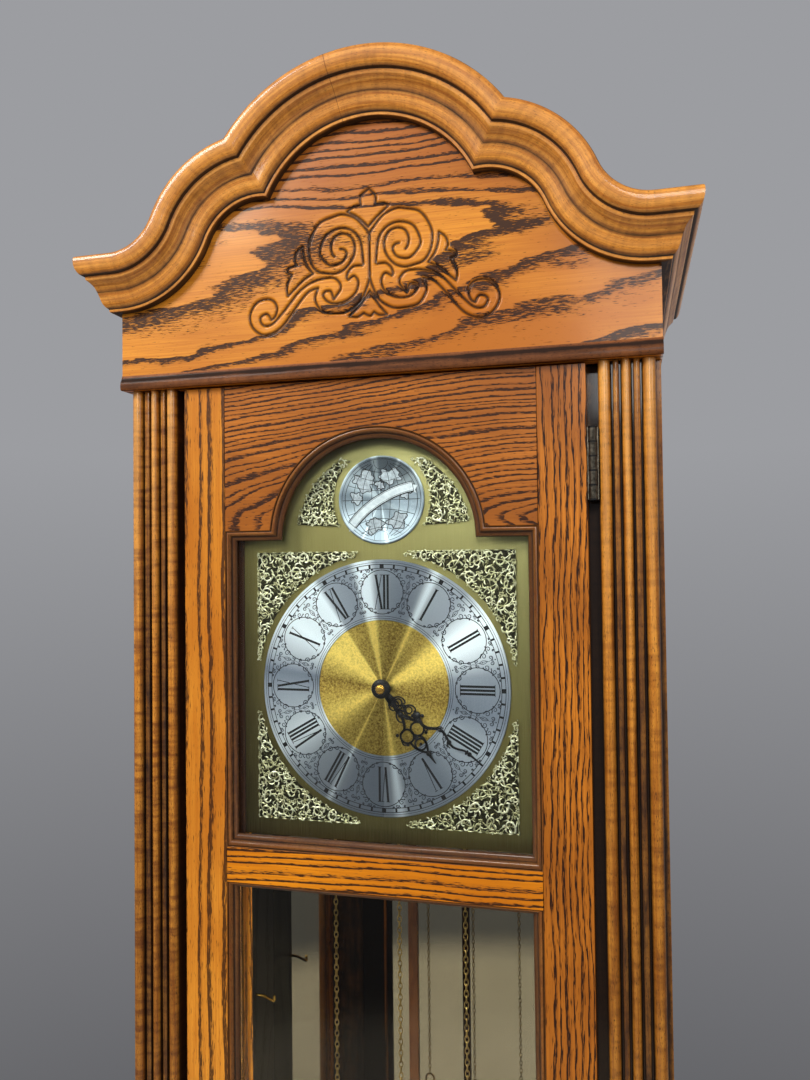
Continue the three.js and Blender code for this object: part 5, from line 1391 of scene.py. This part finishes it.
def base():
    cap = Solid()
    section = [(238.0, 408.5, 0.8), (268.0, 408.5, 0.8), (270.5, 408.8, 0.5), (273.0, 410.0, 0.2),
               (278.5, 411.5, 0.0), (282.5, 414.0, -0.1), (284.0, 417.0, 0.0), (284.0, 419.5, 0.0),
               (282.8, 422.5, 0.1), (280.4, 423.8, 0.4), (277.0, 424.2, 0.8), (276.4, 426.2, 0.3),
               (274.6, 426.6, 0.3), (273.8, 430.0, 0.2), (271.4, 434.0, 0.2), (267.6, 437.6, 0.3),
               (264.2, 439.2, 0.6), (264.0, 441.4, 0.2), (262.6, 441.8, 0.0), (262.2, 448.6, -0.1),
               (261.0, 451.2, -0.2), (259.0, 451.9, 0.0), (238.0, 451.9, 0.2)]
    frame_round(cap, [(h, z) for h, z, _ in section], 153.2, shades_of(section))
    cap.make("base_cap", "case", moulding_wood("cap_wood", 70.0, tone=1.3), "plain_wood",
             ["base_cap_moulding"], sharp=40.0)
    waist_floor = Solid()
    waist_floor.box(-240.0, 240.0, -116.0, 153.0, 432.0, 451.6)
    waist_floor.make("waist_floor", "case", INNER_WOOD, "dark_wood", bevel=0.5)
    for side, name in SIDES:
        stile = Solid()
        x0, x1 = sorted((side * PANEL_HALF, side * BASE_HALF))
        stile.box(x0, x1, BASE_FRONT, BASE_BACK, PLINTH_TOP + GAP, BASE_TOP)
        stile.make(f"base_stile_{name}", "case",
                   wood(f"base_stile_oak_{name}", axes="zxy", pith=(side * 230.0, -70.0), lean=0.03, ring=6.4,
                        seed=74.0 + side, bands=0.8), "oak", bevel=0.8)
    for z0, z1, name in ((PLINTH_TOP + GAP, 168.0, "bottom"), (352.0, BASE_TOP, "top")):
        rail = Solid()
        rail.box(-189.8, 189.8, BASE_FRONT, BASE_BACK, z0, z1)
        rail.make(f"base_rail_{name}", "case", wood(f"base_rail_oak_{name}", axes="xzy",
                                                    pith=(z0 + 20.0, -60.0), lean=0.07, ring=6.0, seed=z0,
                                                    bands=0.8), "oak",
                  ["base_front_frame"] if name == "top" else (), bevel=0.8)
    bead = Solid()
    profile = [(0.0, -143.0, 0.9), (0.0, -149.6, 0.4), (1.6, -151.6, 0.0), (4.2, -152.2, -0.1),
               (6.2, -151.2, 0.1), (7.0, -149.4, 0.7), (8.0, -148.6, 0.3), (9.6, -146.0, 0.3),
               (10.6, -143.0, 0.9)]
    rings = [[(sx * (PANEL_HALF - 0.1 - d), y, PANEL_Z + sz * (PANEL_RISE - 0.1 - d)) for d, y, _ in profile]
             for sx, sz in ((-1, -1), (1, -1), (1, 1), (-1, 1))]
    bead.loft(rings, shades_of(profile), closed=True)
    bead.make("panel_moulding", "case", moulding_wood("panel_bead_wood", 80.0, tone=1.5), "plain_wood",
              sharp=45.0)
    panel = Solid()
    levels = [(0.4, -134.0, 0.5), (0.4, -142.0, 0.5), (10.0, -142.0, 0.6), (12.0, -142.4, 0.5),
              (26.0, -146.2, 0.1), (31.0, -146.9, 0.2), (31.4, -148.0, 0.3), (33.0, -148.3, -0.1)]
    rings = [[(sx * (PANEL_HALF - d), y, PANEL_Z + sz * (PANEL_RISE - d))
              for sx, sz in ((-1, -1), (1, -1), (1, 1), (-1, 1))] for d, y, _ in levels]
    panel.loft(rings, 0.0, ring_shades=shades_of(levels))
    panel.make("raised_panel", "case", wood("raised_panel_oak", axes="xzy", pith=(215.0, -50.0),
                                            lean=0.14, ring=8.5, seed=84.0, bands=0.9, wobble=12.0),
               "oak", ["base_front_panel"], sharp=12.0)


def scalloped(start, end):
    """A plinth board's outline: a foot at each end, a lifted stretch between them."""
    def foot(origin, way):
        corner = smooth_path([(origin + way * 71.0, 0.0), (origin + way * 86.0, 3.0),
                              (origin + way * 96.0, 12.0), (origin + way * 99.0, 24.0),
                              (origin + way * 105.0, 33.0), (origin + way * 116.0, 38.0),
                              (origin + way * 126.0, 42.0)], 5)
        return [tuple(p) for p in corner]
    return [(start, 0.0), *foot(start, 1.0), *reversed(foot(end, -1.0)), (end, 0.0), (end, PLINTH_HEIGHT),
            (start, PLINTH_HEIGHT)]


def plinth():
    boards = Solid()
    boards.slab(scalloped(-PLINTH_HALF, PLINTH_HALF), PLINTH_FRONT, PLINTH_FRONT + PLINTH_BOARD)
    boards.make("plinth_front", "case", wood("plinth_oak_front", axes="xzy", pith=(-30.0, -90.0),
                                             lean=0.05, ring=9.0, seed=90.0, bands=0.7), "plain_wood",
                ["plinth"], bevel=0.8)
    for side, name in SIDES:
        board = Solid()
        board.slab(scalloped(PLINTH_FRONT + PLINTH_BOARD, CASE_BACK), 0.0, PLINTH_BOARD)
        x0 = -PLINTH_HALF if side < 0 else PLINTH_HALF - PLINTH_BOARD
        board.points = [(x0 + depth, along, z) for along, depth, z in board.points]
        board.make(f"plinth_{name}", "case",
                   wood(f"plinth_oak_{name}", axes="yzx", pith=(-30.0, side * 190.0), lean=0.05, ring=9.0,
                        seed=92.0 + side, bands=0.7), "plain_wood", bevel=0.8)
    top = Solid()
    section = [(252.0, 92.2, 0.6), (286.4, 92.2, 0.4), (287.4, 93.4, 0.0), (287.6, 96.0, 0.0),
               (286.6, 98.6, 0.1), (284.0, 99.8, 0.5), (282.0, 100.6, 0.2), (278.4, 103.0, 0.1),
               (275.4, 106.4, 0.3), (273.6, 108.4, 0.6), (272.6, 110.0, 0.3), (252.0, 110.0, 0.6)]
    frame_round(top, [(h, z) for h, z, _ in section], CASE_BACK - 0.2, shades_of(section))
    top.make("plinth_moulding", "case", moulding_wood("plinth_wood", 96.0, tone=1.3), "plain_wood",
             sharp=40.0)


base()
plinth()

WINDOW_Y = 6.5
WINDOW_Z = 1060.0
WINDOW_REACH = 76.5  # from the window's middle to its side edges
WINDOW_RISE = 500.0  # and to its upper and lower ones


def side_window_beads():
    """Rounded stops round the side windows, on the outside."""
    profile = [(0.0, 232.6, 0.9), (5.0, 232.6, 0.8), (5.4, 236.0, 0.3), (4.4, 240.0, 0.0), (2.4, 243.0, -0.1),
               (0.0, 244.6, 0.3)]
    for side, name in SIDES:
        bead = Solid()
        rings = [[(side * x, WINDOW_Y + sy * (WINDOW_REACH - d), WINDOW_Z + sz * (WINDOW_RISE - d))
                  for d, x, _ in profile] for sy, sz in ((-1, -1), (1, -1), (1, 1), (-1, 1))]
        bead.loft(rings, shades_of(profile), closed=True)
        bead.make(f"side_window_bead_{name}", "case", moulding_wood(f"side_bead_wood_{name}", 98.0 + side,
                                                                    tone=1.4), "plain_wood", sharp=45.0)


side_window_beads()

# ------------------------------------------------------------------ weights, chains and pendulum

CHAIN_Y = -51.0
CHAIN_TOP = 1346.0
CHAIN_BOTTOM = 760.3
CHAINS = {"left": -66.0, "centre": 0.0, "right": 66.0}
LINK_PITCH = 5.4
PENDULUM_Y = 4.0
BOB_Z = 640.0


def chain_links(x):
    """Oval links, every other one turned a quarter."""
    solid = Solid()
    count = int((CHAIN_TOP - CHAIN_BOTTOM) / LINK_PITCH)
    pitch = (CHAIN_TOP - CHAIN_BOTTOM) / count
    half_length, half_width, wire = pitch * 0.68, 1.95, 0.52
    for k in range(count):
        z = CHAIN_BOTTOM + (k + 0.5) * pitch
        loop = []
        for step in range(10):
            angle = TAU * step / 10
            a, b = half_width * math.cos(angle), half_length * math.sin(angle)
            loop.append((x + a, CHAIN_Y, z + b) if k % 2 else (x, CHAIN_Y + a, z + b))
        rings = []
        for step, point in enumerate(loop):
            before, after = np.array(loop[step - 1]), np.array(loop[(step + 1) % 10])
            tangent = (after - before) / np.linalg.norm(after - before)
            flat = np.array((0.0, 1.0, 0.0)) if k % 2 else np.array((1.0, 0.0, 0.0))
            other = np.cross(tangent, flat)
            rings.append([tuple(np.array(point) + wire * (math.cos(TAU * j / 5) * flat
                                                          + math.sin(TAU * j / 5) * other))
                          for j in range(5)])
        solid.loft(rings, closed=True)
    return solid


def hung_parts():
    for name, x in CHAINS.items():
        links = chain_links(x).make(f"links_{name}", "case", AGED_BRASS, "antique_brass", [f"chain_{name}"],
                                    merge=False)
        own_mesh(links)
        shell = Solid()
        shell.turn([(0.0, 491.5), (3.0, 491.5), (5.0, 493.5), (6.0, 496.0), (9.5, 498.6), (24.0, 499.4),
                    (27.4, 500.2), (28.0, 501.6), (28.0, 505.0), (26.6, 506.0), (26.6, 508.0),
                    (27.6, 509.0), (27.6, 721.0), (26.6, 722.0), (26.6, 724.0), (28.0, 725.0),
                    (28.0, 728.4), (27.4, 729.8), (24.0, 730.6), (9.0, 731.6), (6.4, 733.0), (5.4, 736.4),
                    (2.6, 738.4), (2.4, 744.0), (0.0, 744.0), (0.0, 491.5)], (x, CHAIN_Y, 0.0), "z", 64)
        hook = [(x + 6.0 * math.cos(a), CHAIN_Y, 750.0 + 7.0 * math.sin(a))
                for a in np.linspace(-1.6, 3.9, 22)]
        shell.tube(hook, 1.3, 8)
        shell.make(f"weight_shell_{name}", f"{name}_weight", BRASS, "bright_brass", [f"weight_{name}"],
                   sharp=30.0)


def pendulum():
    stick = Solid()
    section = [(-5.0, 1.4), (-4.2, 0.8), (4.2, 0.8), (5.0, 1.4), (5.0, 6.6), (4.2, 7.2), (-4.2, 7.2),
               (-5.0, 6.6)]
    stick.loft([[(x, y, z) for x, y in section] for z in (564.0, 800.0, 1000.0, 1200.0, 1424.0)])
    stick.make("pendulum_stick", "pendulum", wood("pendulum_wood", axes="zxy", pith=(20.0, -60.0),
                                                  lean=0.0, ring=5.0, seed=110.0, bands=0.6,
                                                  light=srgb(96, 58, 28), middle=srgb(70, 41, 19)),
               "dark_wood", ["pendulum_rod"], sharp=30.0)
    fittings = Solid()
    fittings.turn([(0.0, 536.0), (1.6, 536.0), (1.6, 548.0), (7.4, 548.4), (8.0, 549.2), (8.0, 555.2),
                   (7.4, 556.0), (1.6, 556.2), (1.6, 566.0), (0.0, 566.0), (0.0, 536.0)],
                  (0.0, PENDULUM_Y, 0.0), "z", 24)
    fittings.box(-5.6, 5.6, 0.4, 7.6, 1408.0, 1426.0)
    fittings.box(-4.0, 4.0, 3.6, 4.4, 1424.0, 1444.5)
    fittings.box(-5.5, 5.5, 0.5, 7.5, 564.0, 578.0)
    fittings.make("pendulum_fittings", "pendulum", AGED_BRASS, "bright_brass", bevel=0.4)
    bob = Solid()
    rim = [(0.0, -9.0), (12.0, -9.0), (13.0, -8.4), (14.0, -8.9), (30.0, -8.2), (44.0, -6.4),
           (45.0, -5.6), (46.4, -6.0), (58.0, -3.6), (59.0, -2.8), (60.4, -3.4), (66.0, -1.6),
           (68.4, 0.0), (70.0, 2.4), (70.0, 5.6), (67.0, 7.6), (50.0, 7.7), (0.0, 7.9), (0.0, -9.0)]
    bob.turn(rim, (0.0, 0.0, BOB_Z), "y", 120)
    bob.make("bob_disc", "pendulum", BRASS, "bright_brass", ["pendulum_bob"], sharp=25.0)


hung_parts()
pendulum()

# ------------------------------------------------------------------ movement details

OUTER_WHEELS = (-50.0, 82.0)
THIRD_WHEEL = (34.0, 1402.0)
HAMMERS = 8


def gear(solid, cx, cz, radius, teeth, y0, y1, depth=2.0, spokes=4):
    """A crossed-out wheel with pointed teeth."""
    outline = []
    for tooth in range(teeth):
        for part, reach in ((0.0, -depth), (0.45, -depth), (0.6, 0.0), (0.85, 0.0)):
            angle = TAU * (tooth + part) / teeth
            outline.append((cx + (radius + reach) * math.cos(angle), cz + (radius + reach) * math.sin(angle)))
    holes = []
    if spokes:
        inner, outer = radius * 0.3, radius - depth - radius * 0.14
        for k in range(spokes):
            a0, a1 = 360.0 / spokes * k + 12.0, 360.0 / spokes * (k + 1) - 12.0
            holes.append(arc(cx, cz, outer, a0, a1, 9) + arc(cx, cz, inner, a1 - 6.0, a0 + 6.0, 5))
    solid.slab(outline, y0, y1, holes=holes)


def movement():
    solid = Solid()
    for x in OUTER_WHEELS:
        solid.turn([(0.0, -83.5), (2.4, -83.5), (2.4, -20.5), (0.0, -20.5), (0.0, -83.5)],
                   (x, 0.0, CHAIN_TOP), "y", 16)
        solid.turn([(2.4, -56.0), (14.0, -56.0), (14.0, -53.0), (12.0, -52.0), (12.0, -50.0), (14.0, -49.0),
                    (14.0, -46.0), (2.4, -46.0), (2.4, -56.0)], (x, 0.0, CHAIN_TOP), "y", 32)
        gear(solid, x, CHAIN_TOP, 24.0, 40, -69.0, -66.6)
    gear(solid, *THIRD_WHEEL, 20.0, 48, -60.0, -58.4)
    solid.turn([(0.0, -83.5), (2.0, -83.5), (2.0, -20.5), (0.0, -20.5), (0.0, -83.5)],
               (THIRD_WHEEL[0], 0.0, THIRD_WHEEL[1]), "y", 12)
    solid.make("striking_wheels", "case", AGED_BRASS, "bright_brass", sharp=30.0)
    nuts = Solid()
    for x, z in ((-75.0, 64.0), (107.0, 64.0), (-75.0, -80.0), (107.0, -80.0)):
        for y0, way in ((-83.0, -1.0), (-20.0, 1.0)):
            nuts.turn([(0.0, way * 4.4), (2.0, way * 4.4), (2.2, way * 3.4), (4.6, way * 3.0),
                       (5.2, way * 2.2), (5.2, way * 0.2), (0.0, way * 0.2), (0.0, way * 4.4)],
                      (x, y0, DIAL_Z + z), "y", 6)
    nuts.make("pillar_nuts", "case", STEEL, "steel", sharp=30.0)
    hammers = Solid()
    for k in range(HAMMERS):
        x = -60.0 + k * 120.0 / (HAMMERS - 1)
        hammers.box(x - 1.2, x + 1.2, -16.0, 88.0, 1474.0, 1476.4)
        hammers.turn([(0.0, 80.0), (3.4, 80.0), (4.2, 81.0), (4.2, 97.0), (3.4, 98.0), (0.0, 98.0),
                      (0.0, 80.0)], (x, 0.0, 1475.2), "y", 14)
    hammers.box(-66.0, 66.0, -17.0, -11.0, 1470.0, 1480.0)
    for x in (-62.0, 62.0):
        hammers.box(x - 3.0, x + 3.0, -19.8, -11.0, 1450.0, 1476.0)
    hammers.make("chime_hammers", "case", AGED_BRASS, "bright_brass", bevel=0.3)


movement()


def door_fittings():
    knob = Solid()
    profile = [(0.0, -126.2), (8.4, -126.2), (8.6, -127.0), (8.2, -128.0), (4.6, -129.4), (3.4, -131.6),
               (3.2, -134.6), (4.6, -137.2), (7.0, -139.4), (8.0, -142.4), (7.6, -145.0), (5.8, -147.2),
               (3.2, -148.3), (0.0, -148.6), (0.0, -126.2)]
    knob.turn(profile, (-170.0, 0.0, 900.0), "y", 40)
    knob.make("pull_knob", "door", BRASS, "bright_brass", ["door_knob"], sharp=35.0)
    for place, bottom in (("top", DIAL_Z + 169.0), ("bottom", 530.0)):
        gaps = Solid()
        for k in range(6):
            z = bottom + 12.4 * k
            gaps.turn([(3.0, z - 0.75), (3.85, z - 0.75), (3.85, z + 0.75), (3.0, z + 0.75), (3.0, z - 0.75)],
                      (196.0, DOOR_FRONT, 0.0), "z", 24)
        gaps.make(f"hinge_gaps_{place}", "case", BLACK, sharp=40.0)
    clip = Solid()
    clip.tube(smooth_path([(-222.0, 97.0, 976.0), (-212.0, 97.0, 976.0), (-203.0, 97.0, 973.0),
                           (-198.0, 97.0, 972.0), (-198.0, 97.0, 978.0)], 5), 1.7, 8)
    clip.make("keeper_clip", "case", BRASS, "steel", sharp=40.0)
    catch = Solid()
    catch.box(-190.6, -183.0, -103.8, -99.0, 880.0, 920.0)
    catch.make("door_catch", "case", AGED_BRASS, "bright_brass", bevel=0.5)


door_fittings()

# ------------------------------------------------------------------ parts that keep their CAD shape


def refinish(material, *names):
    for name in names:
        mesh = CAD[name].data
        mesh.materials.clear()
        mesh.materials.append(material)


refinish(GOLD_PLATE, "dial_plate")
refinish(GLASS, "dial_glass", "waist_glass", "side_glass_left", "side_glass_right")
refinish(MIRROR, "mirror_panel")
refinish(INNER_WOOD, "back_panel", "roof_board", "seatboard")
refinish(PEWTER, "hinge_top_case_leaf", "hinge_top_door_leaf", "hinge_bottom_case_leaf",
         "hinge_bottom_door_leaf")
refinish(BRASS, "movement_front_plate", "movement_back_plate", "chain_wheel", "centre_wheel", "escape_wheel")
refinish(STEEL, "pallet_anchor", "chime_rods")
for side_name, seed in (("left", 60.0), ("right", 66.0)):
    refinish(wood(f"side_oak_{side_name}", axes="zyx", pith=(20.0, 60.0), lean=0.02, ring=7.0, seed=seed,
                  bands=0.8, inside_shade="case"), f"side_frame_{side_name}", f"base_side_{side_name}")

# ------------------------------------------------------------------ studio


def studio():
    floor = bpy.data.meshes.new("floor")
    ring = [(FLOOR_RADIUS * math.cos(TAU * k / 96), FLOOR_Y + FLOOR_RADIUS * math.sin(TAU * k / 96), 0.0)
            for k in range(96)]
    floor.from_pydata(ring, [], [tuple(range(96))])
    floor_object = bpy.data.objects.new("floor", floor)
    floor.materials.append(floor_finish())
    bpy.context.scene.collection.objects.link(floor_object)
    lamps = [
        ("key", (-1.5, -2.15, 3.25), (0.0, 0.0, 1.45), 1.0, 82.0, (1.0, 0.97, 0.93)),
        ("fill", (2.5, -1.5, 2.7), (0.0, 0.0, 1.3), 1.2, 22.0, (0.95, 0.97, 1.0)),
        ("front", (0.5, -3.2, 2.6), (0.0, 0.0, 1.2), 0.9, 30.0, (1.0, 0.99, 0.97)),
        ("back", (0.3, 2.6, 1.4), (0.0, 0.1, 1.1), 2.2, 13.0, (0.97, 0.98, 1.0)),
    ]
    for name, place, target, size, power, colour in lamps:
        data = bpy.data.lights.new(name, "AREA")
        data.size = size
        data.energy = power
        data.color = colour
        lamp = bpy.data.objects.new(name, data)
        lamp.location = place
        lamp.rotation_euler = (Vector(target) - Vector(place)).to_track_quat("-Z", "Y").to_euler()
        bpy.context.scene.collection.objects.link(lamp)
    world = bpy.data.worlds.new("studio")
    world.use_nodes = True
    tree = world.node_tree
    direction = tree.nodes.new("ShaderNodeTexCoord").outputs["Generated"]
    height = tree.nodes.new("ShaderNodeSeparateXYZ")
    tree.links.new(direction, height.inputs[0])
    spread = tree.nodes.new("ShaderNodeMapRange")
    spread.inputs["From Min"].default_value = -0.62
    spread.inputs["From Max"].default_value = 0.12
    tree.links.new(height.outputs["Z"], spread.inputs["Value"])
    ramp = tree.nodes.new("ShaderNodeValToRGB")
    ramp.color_ramp.elements[0].color = srgb(86, 86, 89)
    ramp.color_ramp.elements[1].color = srgb(156, 157, 161)
    tree.links.new(spread.outputs[0], ramp.inputs[0])
    tree.links.new(ramp.outputs[0], tree.nodes["Background"].inputs[0])
    bpy.context.scene.world = world
    bpy.context.scene.view_settings.view_transform = "Standard"


studio()
